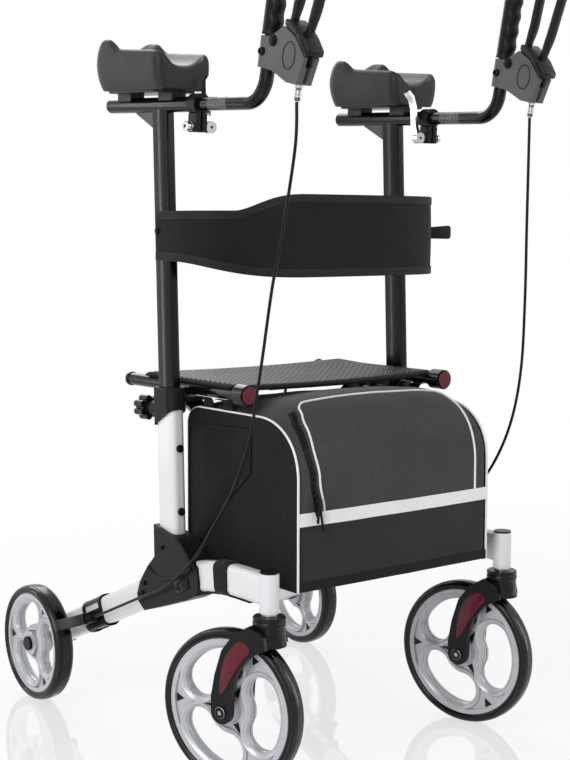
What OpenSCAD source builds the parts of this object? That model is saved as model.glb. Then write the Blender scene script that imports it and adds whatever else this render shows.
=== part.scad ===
// Upright folding walker with forearm supports, a sling seat and a carry bag.
// Right and left are the user's own, so the right side frame lies at negative x.
// The user faces -Y, the floor is z = 0, and the origin is below the middle of the object.

/* [Side frames] */
// Distance of each side frame from the middle plane
frame_x = 258; // [246:1:275]
// Depth of the leg and upright tubes
tube_depth = 50; // [48:1:54]
// Width of the leg and upright tubes
tube_width = 28; // [26:1:32]
// Corner radius of the leg and upright tubes
tube_corner = 10; // [8:0.5:11]
// Wall of the leg and upright tubes
tube_wall = 3; // [2.5:0.25:3.5]
// Height of the leg's level front stretch
leg_level_z = 324; // [318:1:335]
// Slope of the rear stretch of the leg
leg_angle = 23.8; // [22.5:0.1:25]
// Radius of the long bend in the leg
leg_bend_r = 500; // [450:10:550]
// Depth of the rear axle below the leg's middle line
axle_drop = 15; // [8:1:15]
// Length of leg past the rear axle
leg_tail = 20; // [16:1:26]
// Height of the upright's lower end
upright_base_z = 322; // [320:1:330]
// Height of the upright's upper end
upright_top_z = 598; // [590:1:606]
// Outer diameter of the caster head tube
head_d = 31; // [30:0.5:36]
// Height of the caster head's lower end
head_base_z = 289; // [288:0.5:294]
// Height of the caster head tube
head_h = 62; // [60:1:68]

/* [Masts] */
// Place of the mast's centre at the collar, front to back
mast_y = -31.5; // [-36:0.5:-28]
// Backward lean of the mast and upright
mast_lean = 2; // [1:0.1:2.5]
// Gap between the mast and the inside of the upright
mast_gap = 0.75; // [0.5:0.05:1]
// Wall of the mast
mast_wall = 2; // [1.5:0.25:3]
// How far the mast's sides bulge between its corners
mast_bulge = 2; // [1:0.25:2.5]
// Height of the mast's lower end
mast_base_z = 520; // [510:1:530]
// Wall of the plastic collars and blocks round the tubes
sleeve_wall = 5; // [4:0.25:6]
// Height of the collar's lower end
collar_base_z = 552; // [548:1:560]
// Height of the collar's upper end
collar_top_z = 616; // [612:1:622]
// Width of the height knob across its lobes
knob_d = 43; // [38:1:48]
// Number of lobes on the height knob
knob_lobes = 7; // [5:1:9]

/* [Arms] */
// Height of the arm tube above the mast
arm_z = 1086; // [1070:1:1100]
// Place of the arm tube's middle, front to back
arm_y = -17; // [-22:1:-12]
// Slope of the arm tube, higher at the back
arm_tilt = 3; // [1:0.5:5]
// Turn of the arm tube, closer together at the front
arm_toe = 1.2; // [0:0.1:2]
// Outer diameter of the arm tube
arm_d = 25.4; // [25:0.1:28]
// Length of the arm tube behind its middle
arm_back = 157; // [155:1:170]
// Length of the arm tube in front of its middle
arm_front = 108; // [100:1:116]
// Outer diameter of the handle tube
handle_d = 22.2; // [20:0.1:22.6]
// Length of the handle tube held inside the arm tube
handle_back = 70; // [60:1:90]
// Distance of the handle's corner in front of the arm's middle
handle_corner = 266; // [260:1:275]
// Radius of the handle's bend
handle_bend_r = 45; // [42:1:50]
// Forward lean of the handle against the arm tube
riser_lean = 8.3; // [6:0.1:10]
// Start of the grip along the handle
grip_start = 101; // [100:1:106]
// Length of the grip
grip_length = 127; // [115:1:135]
// Diameter of the grip
grip_d = 31; // [29:0.5:34]

/* [Brake levers] */
// Thickness of the lever housing
housing_w = 30; // [28:1:34]
// Thickness of the lever blade and loop
lever_d = 12; // [10:0.5:13]
// Diameter of the lever's pivot bolt
lever_pin_d = 8; // [6:0.5:10]
// Diameter of the cable and its sleeve
cable_d = 5; // [4:0.5:6]

/* [Arm pads] */
// Width of the arm pad
pad_width = 110; // [100:1:118]
// Height of the pad's underside above the arm tube's centre
pad_base = 23; // [21:0.5:26]
// Length of the pad in front of the arm's middle
pad_front = 57; // [52:1:62]
// Length of the pad behind the arm's middle
pad_back = 149; // [142:1:154]
// Height of the pad's side walls at the front
pad_front_h = 61; // [56:1:66]
// Height of the pad's humps at the back
pad_back_h = 87; // [82:1:92]
// Depth of the trough for the forearm
pad_trough = 21; // [15:1:26]

/* [Wheels] */
// Diameter of the front wheels
front_wheel_d = 254; // [248:1:256]
// Width of the front tyres
front_tyre_w = 34; // [30:1:36]
// Diameter of the rear wheels
rear_wheel_d = 214; // [208:1:220]
// Width of the rear tyres
rear_tyre_w = 36; // [32:1:38]
// Distance of each rear wheel from the middle plane
rear_wheel_x = 316; // [315:1:320]
// Height of the tyre's section
tyre_h = 15; // [12:1:18]
// Place of the rear axle, front to back
rear_axle_y = 330; // [320:1:340]
// Place of the caster stems, front to back
caster_y = -306; // [-312:1:-300]
// Distance that the front axle trails behind the caster stem
caster_trail = 69; // [64:1:74]
// Turn of the right caster
right_turn = 19; // [0:1:22]
// Turn of the left caster
left_turn = 14; // [0:1:22]
// Diameter of the axles
axle_d = 12; // [10:0.5:14]
// Diameter of the caster stem
stem_d = 20; // [18:0.5:22]
// Distance between the fork blades
fork_gap = 48; // [46:1:54]
// Thickness of each fork blade
blade_w = 9; // [8:0.5:12]

/* [Folding brace and seat] */
// Distance of the seat tubes and brace pivots from the middle plane
seat_x = 217; // [212:1:220]
// Height of the seat tubes
seat_z = 613; // [608:1:618]
// Diameter of the seat tubes
seat_tube_d = 22; // [19:0.5:24]
// Front end of the seat tubes
seat_front = -199; // [-205:1:-195]
// Back end of the seat tubes
seat_back = 148; // [140:1:156]
// Height of the brace pivots
pivot_z = 272; // [268:1:278]
// Diameter of the brace pivot bolts
pivot_d = 10; // [8:0.5:12]
// Height of the brace bars
bar_h = 26; // [22:1:28]
// Thickness of the brace bars
bar_w = 14; // [12:0.5:15]
// Middle of the front bar, front to back
bar_y = 8; // [6:0.5:10]
// Gap between the two bars
bar_gap = 3; // [2:0.5:4]
// Diameter of the cups at the front of the seat tubes
cup_d = 35; // [32:1:38]
// Thickness of the sling seat
sling_t = 3.5; // [3:0.5:5]

/* [Bag and belt] */
// Half width of the bag
bag_x = 208; // [200:1:215]
// Front of the bag
bag_front = -315; // [-325:1:-300]
// Back of the bag
bag_back = -14; // [-20:1:-10]
// Bottom of the bag
bag_base = 313; // [308:1:322]
// Top of the bag
bag_top = 589; // [580:1:592]
// Radius of the bag's front upper edge
bag_front_r = 100; // [80:5:120]
// Radius of the bag's back upper edge
bag_back_r = 40; // [30:5:50]
// Thickness of the bag's walls
bag_wall = 3; // [2:0.5:4]
// Thickness of the back belt
belt_t = 7; // [5:0.5:9]
// Reach of the belt in front of the masts
belt_reach = 140; // [110:5:160]
// Height of the belt's middle line
belt_z = 869; // [860:1:885]
// Height of the belt at the masts
belt_end_h = 80; // [72:1:90]
// Height of the belt in the middle
belt_mid_h = 137; // [120:1:145]

/* [Clearances] */
// Radial clearance of every turning or sliding round fit
run_gap = 0.05; // [0.02:0.01:0.08]
// Gap between neighbouring pieces that move apart
part_gap = 0.35; // [0.3:0.05:0.5]

/* [Hidden] */
$fn = 64;
eps = 0.5;
// A seam where a straight tube meets its bend
seam = 0.1;

front_r = front_wheel_d / 2;
rear_r = rear_wheel_d / 2;

// Where the leg bends and how far its straight rear stretch runs
leg_corner_y = rear_axle_y - (leg_level_z - rear_r - axle_drop) / tan(leg_angle);
leg_tangent = leg_bend_r * tan(leg_angle / 2);
bend_start_y = leg_corner_y - leg_tangent;
bend_end_y = leg_corner_y + leg_tangent * cos(leg_angle);
bend_end_z = leg_level_z - leg_tangent * sin(leg_angle);
rear_run = (rear_axle_y - bend_end_y) / cos(leg_angle);

// Mast section, and heights along the leaning mast from the collar reference
mast_ref_z = 600;
mast_depth = tube_depth - 2 * tube_wall - 2 * mast_gap;
mast_width = tube_width - 2 * tube_wall - 2 * mast_gap;
mast_corner = tube_corner - tube_wall - mast_gap;
mast_side_r = (mast_depth * mast_depth / 4 + mast_bulge * mast_bulge) / (2 * mast_bulge);
knob_z = -22;
knob_boss = 16;
knob_stud_d = 8;
knob_stud = knob_boss + sleeve_wall + tube_wall + part_gap;
knob_neck = 12;
knob_h = 24;
knob_lobe_d = 12;

// Reach clamp below the arm tube's front end
clamp_len = 22;
clamp_wall = 4.5;
clamp_drop = 36;
clamp_pin_x = 24;
cam_d = 20;
lever_back = 16;

// Handle bend and lever housing, measured along and in front of the riser
riser_turn = 90 - riser_lean;
bend_run = handle_bend_r * tan(riser_turn / 2);
handle_wall = 2;
grip_end = 6;
housing_base = 52;
housing_top = 99;
lever_pin = [-24, 94];
ferrule = [-78, 12];
ferrule_d = 9;

// Fork and hubs
fork_w = fork_gap + 2 * blade_w;
crown_top = head_base_z - 5;
crown_d = 49;
crown_h = 46;
fork_end_d = 38;
front_hub_w = fork_gap - 2;
rear_hub_inner = 20;
rear_hub_outer = rear_tyre_w / 2 + 0.5;

// Brace bars cross at half height
bar_run = 2 * seat_x;
bar_rise = seat_z - pivot_z;
bar_angle = atan2(bar_rise, bar_run);
bar_len = norm([bar_run, bar_rise]);
bar_step = bar_w + bar_gap;
front_bar_y = bar_y;
rear_bar_y = bar_y + bar_step;
lug_w = 6;
lug_r = bar_h / 2 + 1;

// Rear brake on the leg, measured up the slope from the axle
brake_from = 112;
brake_to = 178;
hoop_t = 4;
hoop_w = 6;
shoe_gap = 3;
shoe_h = 20;
cable_side = 29;
cable_drop = 8;
barrel_q = 166;
barrel_len = 20;

// A point beside the rear leg, up the slope from the axle
function by_rear_leg(q) = [
    -frame_x - cable_side,
    rear_axle_y - q * cos(leg_angle) - cable_drop * sin(leg_angle),
    rear_r + axle_drop + q * sin(leg_angle) - cable_drop * cos(leg_angle)
];
cable_end = [for (q = [420, 340, 270, barrel_q + 26, barrel_q - barrel_len / 2]) by_rear_leg(q)];

// Cable routes from the lever's ferrule past the seat and along the leg to the rear brake
right_route = concat([
    [-251, -361, 1067.5], [-253, -360, 1000], [-260, -340, 880], [-264, -319, 790], [-269, -302, 685],
    [-272, -290, 620], [-275, -277, 555], [-279, -240, 474], [-283, -195, 411], [-287, -140, 344]
], cable_end);
left_route = concat([
    [-251, -361, 1067.5], [-254, -357, 980], [-259, -351, 880], [-265, -344, 760], [-271, -332, 640],
    [-276, -306, 545], [-280, -262, 465], [-284, -200, 395], [-287, -137, 336]
], cable_end);

// Places and general shapes

// Everything on a side frame is drawn on the right and mirrored for the left
module on_left()
    mirror([1, 0, 0])
        children();

module section(w, d, r) {
    square([w, d - 2 * r], center = true);
    square([w - 2 * r, d], center = true);
    for (x = [-1, 1], y = [-1, 1])
        translate([x * (w / 2 - r), y * (d / 2 - r)])
            circle(r = r);
}

module tube_outer(grow = 0)
    section(tube_width + 2 * grow, tube_depth + 2 * grow, tube_corner + grow);

module tube_ring()
    difference() {
        tube_outer();
        tube_outer(-tube_wall);
    }

module mast_outer(grow = 0)
    intersection() {
        section(mast_width + 2 * grow, mast_depth + 2 * grow, mast_corner + grow);
        translate([mast_side_r - mast_width / 2, 0])
            circle(r = mast_side_r + grow);
        translate([mast_width / 2 - mast_side_r, 0])
            circle(r = mast_side_r + grow);
    }

// Extrudes a side view, drawn as front to back and height, across the width
module across(w)
    rotate([90, 0, 90])
        linear_extrude(w, center = true)
            children();

// A round bar up from the origin: each step is a straight run, a turn towards -y and its radius
module bent_bar(d, steps, i = 0) {
    run = steps[i][0];
    turn = steps[i][1];
    r = sign(turn) * steps[i][2];
    cylinder(d = d, h = run);
    if (i + 1 < len(steps))
        translate([0, 0, run]) {
            mirror([0, turn < 0 ? 1 : 0, 0])
                translate([0, -abs(r), 0])
                    rotate([90, 0, 90])
                        rotate_extrude(angle = abs(turn))
                            translate([abs(r), 0])
                                circle(d = d);
            translate([0, -r, 0])
                rotate([turn, 0, 0])
                    translate([0, r, 0]) {
                        cylinder(d = d + 2 * seam, h = 10 * seam, center = true);
                        bent_bar(d, steps, i + 1);
                    }
        }
}

// A round bar along the width
module cross_rod(d, from_x, to_x)
    translate([from_x, 0, 0])
        rotate([0, 90, 0])
            cylinder(d = d, h = to_x - from_x);

// A round bar from front to back
module long_rod(d, from_y, to_y)
    translate([0, from_y, 0])
        rotate([-90, 0, 0])
            cylinder(d = d, h = to_y - from_y);

module leg_level(from_y, to_y)
    translate([-frame_x, from_y, leg_level_z])
        rotate([-90, 0, 0])
            linear_extrude(to_y - from_y)
                children();

module leg_bend(from_a, to_a)
    translate([-frame_x, bend_start_y, leg_level_z - leg_bend_r])
        rotate([0, -90, 0])
            rotate([0, 0, from_a])
                rotate_extrude(angle = to_a - from_a, $fn = 180)
                    translate([leg_bend_r, 0])
                        rotate(90)
                            children();

module leg_rear(from_s, to_s)
    translate([-frame_x, bend_end_y, bend_end_z])
        rotate([-90 - leg_angle, 0, 0])
            translate([0, 0, from_s])
                linear_extrude(to_s - from_s)
                    children();

// Rear leg frame: the leg's middle line above the axle at the origin, -y up the slope
module at_rear_leg()
    translate([-frame_x, rear_axle_y, rear_r + axle_drop])
        rotate([-leg_angle, 0, 0])
            children();

// Leaning mast frame: the origin on the mast's axis at the collar
module at_mast()
    translate([-frame_x, mast_y, mast_ref_z])
        rotate([-mast_lean, 0, 0])
            children();

module along_mast(from_z, to_z)
    at_mast()
        translate([0, 0, from_z - mast_ref_z])
            linear_extrude(to_z - from_z)
                children();

// Arm frame: the arm tube along y, the inner side at +x
module at_arm()
    translate([-frame_x, arm_y, arm_z])
        rotate([0, 0, arm_toe])
            rotate([arm_tilt, 0, 0])
                children();

// Handle frame: the handle's axis along z from its corner, -y forward
module at_riser()
    at_arm()
        translate([0, -handle_corner, 0])
            rotate([riser_lean, 0, 0])
                children();

// Caster frame: the stem along z, the trail towards +y
module at_caster(x, turn)
    translate([x, caster_y, 0])
        rotate([0, 0, turn])
            children();

module at_front_axle(x, turn)
    at_caster(x, turn)
        translate([0, caster_trail, front_r])
            children();

module at_rear_axle()
    translate([-rear_wheel_x, rear_axle_y, rear_r])
        children();

// Side frame

module leg_solid(grow, past = leg_tail) {
    leg_level(caster_y, bend_start_y)
        tube_outer(grow);
    leg_bend(0, leg_angle)
        tube_outer(grow);
    leg_rear(-20 * seam, 20 * seam)
        tube_outer(grow + seam);
    leg_rear(0, rear_run + past)
        tube_outer(grow);
}

module leg_tube()
    color("white")
        difference() {
            union() {
                leg_solid(0);
                translate([-frame_x, caster_y, head_base_z])
                    cylinder(d = head_d, h = head_h);
            }
            leg_solid(-tube_wall, leg_tail - tube_wall);
            translate([-frame_x, caster_y, head_base_z - eps])
                cylinder(d = stem_d + 2 * run_gap, h = head_h + 2 * eps);
            translate([-frame_x, rear_axle_y, rear_r])
                cross_rod(axle_d, -tube_width, tube_width);
        }

module upright_tube()
    color("white")
        difference() {
            along_mast(upright_base_z, upright_top_z)
                tube_ring();
            at_mast()
                translate([0, 0, knob_z])
                    long_rod(knob_stud_d + 2 * part_gap, 0, tube_depth);
        }

// Block that joins the upright to the leg and carries the brace pivot,
// outlined from the mast's place and the leg's level
block_outline = [
    [22, 57.5], [-53, 43], [-72, 28.5], [-86.5, 13.5], [-103.5, 5.5], [-109, -21.5], [-103.5, -41.5],
    [-75.5, -54], [52.5, -98], [73, -84], [75.5, -73], [66, -49], [43, -19.5], [20.5, 2]
];
block_top_z = leg_level_z + block_outline[0][1];

module brace_lug(y)
    translate([0, y, 0])
        rotate([-90, 0, 0]) {
            translate([-seat_x, -pivot_z, 0])
                cylinder(r = lug_r, h = lug_w);
            translate([-frame_x + tube_width / 2 + sleeve_wall - 2, -pivot_z - lug_r, 0])
                cube([frame_x - seat_x - tube_width / 2 - sleeve_wall + 2, 2 * lug_r, lug_w]);
        }

module hinge_block(lug_y)
    color("#2b2c2e")
        difference() {
            union() {
                translate([-frame_x, mast_y, leg_level_z])
                    across(tube_width + 2 * sleeve_wall)
                        polygon(block_outline);
                brace_lug(lug_y - bar_w / 2 - part_gap - lug_w);
                brace_lug(lug_y + bar_w / 2 + part_gap);
            }
            leg_solid(0);
            along_mast(upright_base_z, block_top_z + sleeve_wall)
                tube_outer();
            translate([-seat_x, 0, pivot_z])
                long_rod(pivot_d, lug_y - bar_w - lug_w, lug_y + bar_w + lug_w);
        }

// Collar over the upright's top with the knob's boss and the shelf below the seat tube
shelf_w = frame_x - seat_x + (seat_tube_d - tube_width) / 2;
shelf_len = 36;
shelf_front = mast_y - 24;
shelf_base = bag_top + 3;
shelf_gap = 3;
shelf_top = seat_z - seat_tube_d / 2 - shelf_gap;

module upper_collar()
    color("#2b2c2e")
        difference() {
            union() {
                along_mast(collar_base_z, collar_top_z)
                    tube_outer(sleeve_wall);
                at_mast()
                    translate([0, 0, knob_z])
                        long_rod(26, 0, tube_depth / 2 + sleeve_wall + knob_boss);
                translate([-frame_x + tube_width / 2, shelf_front, shelf_base])
                    cube([shelf_w, shelf_len, shelf_top - shelf_base]);
            }
            along_mast(collar_base_z - tube_depth, upright_top_z)
                tube_outer();
            along_mast(upright_top_z - eps, collar_top_z + eps)
                mast_outer(part_gap);
            at_mast()
                translate([0, -tube_depth / 2, collar_base_z - mast_ref_z + 26])
                    rotate([-28, 0, 0])
                        translate([-tube_width, -tube_depth, -tube_depth])
                            cube([2 * tube_width, 2 * tube_depth, tube_depth]);
            at_mast()
                translate([0, 0, knob_z])
                    long_rod(knob_stud_d + 2 * run_gap, 0, 2 * tube_depth);
        }

module knob_outline() {
    circle(d = knob_d - knob_lobe_d);
    for (i = [0 : knob_lobes - 1])
        rotate(i * 360 / knob_lobes)
            translate([(knob_d - knob_lobe_d) / 2, 0])
                circle(d = knob_lobe_d);
}

module height_knob()
    color("#232425")
        at_mast()
            translate([0, tube_depth / 2 + sleeve_wall + knob_boss + part_gap, knob_z])
                rotate([-90, 0, 0])
                    difference() {
                        union() {
                            translate([0, 0, -knob_stud])
                                cylinder(d = knob_stud_d, h = knob_stud + knob_neck / 2);
                            cylinder(d = 20, h = knob_neck);
                            translate([0, 0, knob_neck])
                                linear_extrude(knob_h)
                                    knob_outline();
                        }
                        translate([0, 0, knob_neck + knob_h - 5])
                            cylinder(d = knob_d - 2 * knob_lobe_d - 2, h = 10);
                    }

// Bolts, pins and straps fixed to the side frame, each a solid of its own
module rear_axle() {
    head = 6;
    washer_d = 22;
    leg_near = rear_wheel_x - frame_x - tube_width / 2;
    leg_far = leg_near + tube_width;
    at_rear_axle() {
        cross_rod(axle_d, -rear_hub_outer - head / 2, leg_far + head / 2);
        cross_rod(washer_d + 4, -rear_hub_outer - head, -rear_hub_outer - part_gap);
        cross_rod(washer_d, rear_hub_inner + part_gap, leg_near);
        cross_rod(washer_d, leg_far, leg_far + head);
    }
}

module brace_pin(lug_y) {
    reach = bar_w / 2 + part_gap + lug_w;
    translate([-seat_x, lug_y, pivot_z]) {
        long_rod(pivot_d, -reach, reach);
        long_rod(18, -reach - 5, -reach);
        long_rod(18, reach, reach + 5);
    }
}

module bag_bolts()
    for (z = [408, 514])
        at_mast()
            translate([0, 0, z - mast_ref_z])
                long_rod(13, -tube_depth / 2 - 5, -tube_depth / 2);

module frame_fasteners(lug_y)
    color("#1d1e20") {
        rear_axle();
        brace_pin(lug_y);
        bag_bolts();
        translate([-frame_x, caster_y, head_base_z + head_h])
            cylinder(d = head_d - 1, h = 3);
    }

// Mast, arm and pad

module mast_tube()
    color("#26272a")
        difference() {
            union() {
                along_mast(mast_base_z, arm_z)
                    difference() {
                        mast_outer();
                        mast_outer(-mast_wall);
                    }
                translate([-frame_x, 0, 0])
                    across(10)
                        polygon([[mast_y + 34, 1046], [mast_y + 34, arm_z], [60, arm_z], [60, arm_z - 10]]);
            }
            at_arm()
                long_rod(arm_d, -arm_front, arm_back);
        }

module arm_tube()
    color("#26272a")
        at_arm()
            difference() {
                long_rod(arm_d, -arm_front, arm_back);
                long_rod(handle_d + 2 * run_gap, -arm_front - eps, arm_back - 12);
            }

saddle_len = 40;

module pad_plate()
    color("#1f2022")
        at_arm()
            difference() {
                union() {
                    translate([0, (pad_back - pad_front) / 2 - 8, pad_base - 4])
                        linear_extrude(4)
                            section(pad_width - 30, pad_back + pad_front - 40, 20);
                    for (y = [-pad_front + 14, pad_back - 30 - saddle_len])
                        translate([-14, y, arm_d / 4])
                            cube([28, saddle_len, pad_base - 4 - arm_d / 4]);
                }
                long_rod(arm_d, -arm_front, arm_back);
            }

// The moulded pad is a trough with side walls that rise to humps at the back
pad_rings = 23;
pad_slope = 11;
pad_lean = 14;

function smooth(t) = let (c = min(max(t, 0), 1)) c * c * (3 - 2 * c);
// Falls from 1 on a circle's curve as t goes from 0 to 1
function round_off(t, depth) = sqrt(1 - pow(max(0, t) * depth, 2));
// Along the pad from its front at 0 to its back at 1
function pad_wall_h(u) = pad_front_h + u * pad_slope
    + (pad_back_h - pad_front_h - pad_slope) * smooth((u - 0.62) / 0.16);
// Share of the full width: rounded in plan at both ends
function pad_plan(u) = round_off((u - 0.86) / 0.14, 0.72) * round_off((0.06 - u) / 0.06, 0.42);
// Share of the full height near the ends
function pad_crown(u) = round_off((u - 0.9) / 0.1, 0.62) * round_off((0.05 - u) / 0.05, 0.4);
// The back end leans out at half height
function pad_y(u, k) = -pad_front + u * (pad_back + pad_front - pad_lean)
    + pad_lean * max(0, (u - 0.8) / 0.2) * sin(180 * min(k, 1));
// Half of one ring, from the middle of the underside round to the middle of the trough
function pad_half(u) = let (
        w = pad_width / 2 * pad_plan(u),
        h = pad_wall_h(u) * pad_crown(u),
        dip = pad_trough + 0.35 * (pad_wall_h(u) - pad_front_h)
    ) [
        [0, 0], [w * 0.5, 0], [w * 0.82, 0], [w * 0.9, h * 0.12], [w * 0.97, h * 0.34], [w, h * 0.6],
        [w * 0.985, h * 0.84], [w * 0.95, h * 0.95], [w * 0.87, h], [w * 0.78, h * 0.97],
        [w * 0.62, h - dip * 0.48], [w * 0.4, h - dip * 0.84], [w * 0.18, h - dip * 0.98], [0, h - dip]
    ];
function pad_ring(u) = let (half = pad_half(u), n = len(half), top = pad_wall_h(u))
    [for (i = [0 : 2 * n - 3])
        let (q = i < n ? half[i] : half[2 * n - 2 - i], s = i < n ? 1 : -1)
            [s * q[0], pad_y(u, q[1] / top), q[1]]];

// Closed triangle mesh over rings of equal length, with a fan at each end
module ring_mesh(rings) {
    n = len(rings[0]);
    m = len(rings);
    points = [for (r = rings, p = r) p];
    ends = [for (r = [rings[0], rings[m - 1]]) (r[0] + r[n / 2]) / 2];
    sides = [for (i = [0 : m - 2], j = [0 : n - 1], t = [0, 1])
        let (a = i * n + j, b = i * n + (j + 1) % n)
            t == 0 ? [a, b, b + n] : [a, b + n, a + n]];
    caps = [for (j = [0 : n - 1], t = [0, 1])
        let (k = (j + 1) % n, o = (m - 1) * n)
            t == 0 ? [m * n, k, j] : [m * n + 1, o + j, o + k]];
    polyhedron(concat(points, ends), concat(sides, caps));
}

module arm_pad()
    color("#3a3b3d")
        at_arm()
            translate([0, 0, pad_base])
                ring_mesh([for (i = [0 : pad_rings - 1]) pad_ring(i / (pad_rings - 1))]);

module reach_clamp()
    color("#2a2a2c")
        at_arm() {
            mid = -arm_front + clamp_len / 2;
            difference() {
                union() {
                    long_rod(arm_d + 2 * clamp_wall, -arm_front, -arm_front + clamp_len);
                    translate([-11, -arm_front, -clamp_drop - 9])
                        cube([22, clamp_len, clamp_drop - arm_d / 4]);
                }
                long_rod(arm_d, -arm_front - eps, arm_back);
                translate([-2, -arm_front - eps, -clamp_drop - 10])
                    cube([4, clamp_len + 2 * eps, clamp_drop]);
            }
            translate([0, mid, -clamp_drop]) {
                cross_rod(5, -24, clamp_pin_x);
                cross_rod(14, -24, -11);
                cross_rod(12, 11, clamp_pin_x - cam_d / 2 - part_gap);
                translate([clamp_pin_x, 0, 0])
                    long_rod(9, -2.6, 2.6);
                translate([clamp_pin_x, 0, 0])
                    long_rod(5, -6.5, 6.5);
            }
        }

module clamp_lever()
    color("silver")
        at_arm()
            translate([0, -arm_front + clamp_len / 2, -clamp_drop])
                difference() {
                    union() {
                        translate([clamp_pin_x, 0, 0])
                            long_rod(cam_d, -6.5, 6.5);
                        rotate([90 - lever_back, 0, 0])
                            linear_extrude(13, center = true)
                                polygon([
                                    [clamp_pin_x - 1, 5], [clamp_pin_x + 8, 4], [clamp_pin_x + 8, 30],
                                    [clamp_pin_x + 3, 56], [clamp_pin_x + 6, 74], [clamp_pin_x + 14, 84],
                                    [clamp_pin_x + 10, 87], [clamp_pin_x + 1, 77], [clamp_pin_x - 2, 56],
                                    [clamp_pin_x + 3, 28]
                                ]);
                    }
                    translate([clamp_pin_x, 0, 0])
                        long_rod(5 + 2 * run_gap, -10, 10);
                    translate([clamp_pin_x - cam_d, -3.2, -cam_d])
                        cube([cam_d + 5.5, 6.4, cam_d + 6]);
                }

// Handle with its grip, lever housing and brake lever

module handle_tube()
    color("#26272a")
        at_arm()
            difference() {
                translate([0, handle_back, 0])
                    rotate([90, 0, 0])
                        mirror([0, 1, 0])
                            bent_bar(handle_d, [
                                [handle_corner - bend_run + handle_back, riser_turn, handle_bend_r],
                                [grip_start + grip_length - bend_run - grip_end, 0, 0]
                            ]);
                long_rod(handle_d - 2 * handle_wall, bend_run - handle_corner, handle_back + eps);
            }

module grip()
    color("#1c1c1e")
        at_riser()
            difference() {
                translate([0, 0, grip_start])
                    cylinder(d = grip_d, h = grip_length);
                cylinder(d = handle_d, h = grip_start + grip_length - grip_end);
            }

housing_slot = 1;

module lever_housing()
    color("#55575a")
        at_riser() {
            difference() {
                union() {
                    translate([0, 0, housing_base])
                        cylinder(d = handle_d + 10, h = housing_top - housing_base);
                    across(housing_w)
                        polygon([
                            [0, housing_base], [-28, 50], [-48, 43], [-64, 37], [-88, 36], [-99, 76],
                            [-72, 104], [-44, 117], [-16, housing_top], [0, housing_top]
                        ]);
                }
                cylinder(d = handle_d, h = grip_start + grip_length);
                across(lever_d + 2 * housing_slot)
                    polygon([
                        [-13, 82], [-13, 130], [-130, 130], [-130, 62], [-60, 62], [-40, 80]
                    ]);
            }
            translate([0, lever_pin[0], lever_pin[1]]) {
                cross_rod(lever_pin_d, -housing_w / 2 - 3, housing_w / 2 + 3);
                for (s = [-1, 1])
                    translate([s * (housing_w / 2 + 2), 0, 0])
                        rotate([0, 90, 0])
                            cylinder(d = 13, h = 4, center = true, $fn = 6);
            }
            translate([0, ferrule[0], ferrule[1]])
                cylinder(d = ferrule_d, h = 34);
        }

// The lever's loop: where it leaves the blade, its first slope, and its runs, turns and radii
loop_start = [-45, 108];
loop_slope = 13;
loop_steps = [[45, -9, 80], [51, 186, 24], [57, 5, 120], [52, 0, 0]];

module brake_lever()
    color("#1e1f21")
        at_riser()
            difference() {
                union() {
                    across(lever_d)
                        polygon([
                            [-18, 88], [-18, 100], [-40, 116], [-53, 112], [-66, 100], [-82, 92],
                            [-96, 96], [-100, 82], [-92, 75], [-80, 72], [-58, 82], [-30, 87]
                        ]);
                    translate([0, lever_pin[0], lever_pin[1]])
                        cross_rod(17, -lever_d / 2, lever_d / 2);
                    translate([0, loop_start[0], loop_start[1]])
                        rotate([loop_slope, 0, 0])
                            bent_bar(lever_d, loop_steps);
                }
                translate([0, lever_pin[0], lever_pin[1]])
                    cross_rod(lever_pin_d + 2 * run_gap, -lever_d, lever_d);
            }

// Cable along a route, with a ring of eight sides about every 12 mm of each bend's chord
cable_sides = 8;

function unit(v) = v / norm(v);
function spline(p, i, t) = let (
        a = p[max(i - 1, 0)], b = p[i], c = p[i + 1], d = p[min(i + 2, len(p) - 1)]
    ) b + 0.5 * t * ((c - a) + t * ((2 * a - 5 * b + 4 * c - d) + t * (3 * b - 3 * c + d - a)));
function route_line(p, steps) = [for (i = [0 : len(p) - 2], k = [0 : steps - 1]) spline(p, i, k / steps)];
function cable_ring(at, dir) = let (
        side = unit(cross(dir, [1, 0, 0])), up = cross(side, dir)
    ) [for (j = [0 : cable_sides - 1])
        at + cable_d / 2 * (side * cos(j * 360 / cable_sides) + up * sin(j * 360 / cable_sides))];

module brake_cable(route)
    color("#18181a") {
        line = concat(route_line(route, 4), [route[len(route) - 1]]);
        last = len(line) - 1;
        ring_mesh([for (i = [0 : last])
            cable_ring(line[i], unit(line[min(i + 1, last)] - line[max(i - 1, 0)]))]);
    }

// Casters and wheels

fork_outline = [
    [-10, 258], [-2, 264], [20, 270], [46, 254], [68, 226], [81, 186], [88, 150],
    [88, front_r], [50, front_r], [48, 160], [38, 196], [14, 224], [-14, 238]
];

module caster_fork(x, turn)
    color("#232426")
        at_caster(x, turn)
            difference() {
                union() {
                    across(fork_w)
                        polygon(fork_outline);
                    translate([0, caster_trail, front_r])
                        cross_rod(fork_end_d, -fork_w / 2, fork_w / 2);
                    translate([0, 0, crown_top - crown_h])
                        cylinder(d = crown_d, h = crown_h);
                }
                translate([0, caster_trail, front_r])
                    cross_rod(front_wheel_d + 10, -fork_gap / 2, fork_gap / 2);
                translate([0, caster_trail, front_r])
                    cross_rod(axle_d, -fork_w, fork_w);
                translate([0, 0, crown_top - 20])
                    cylinder(d = stem_d, h = 40);
            }

reflector_t = 1.5;

module fork_reflectors(x, turn)
    color("#7a1420")
        at_caster(x, turn)
            for (s = [-1, 1])
                translate([s * (fork_w + reflector_t) / 2, 0, 0])
                    across(reflector_t)
                        polygon([
                            [14, 236], [34, 246], [58, 220], [68, 190],
                            [70, 158], [60, 166], [46, 190], [30, 214]
                        ]);

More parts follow.
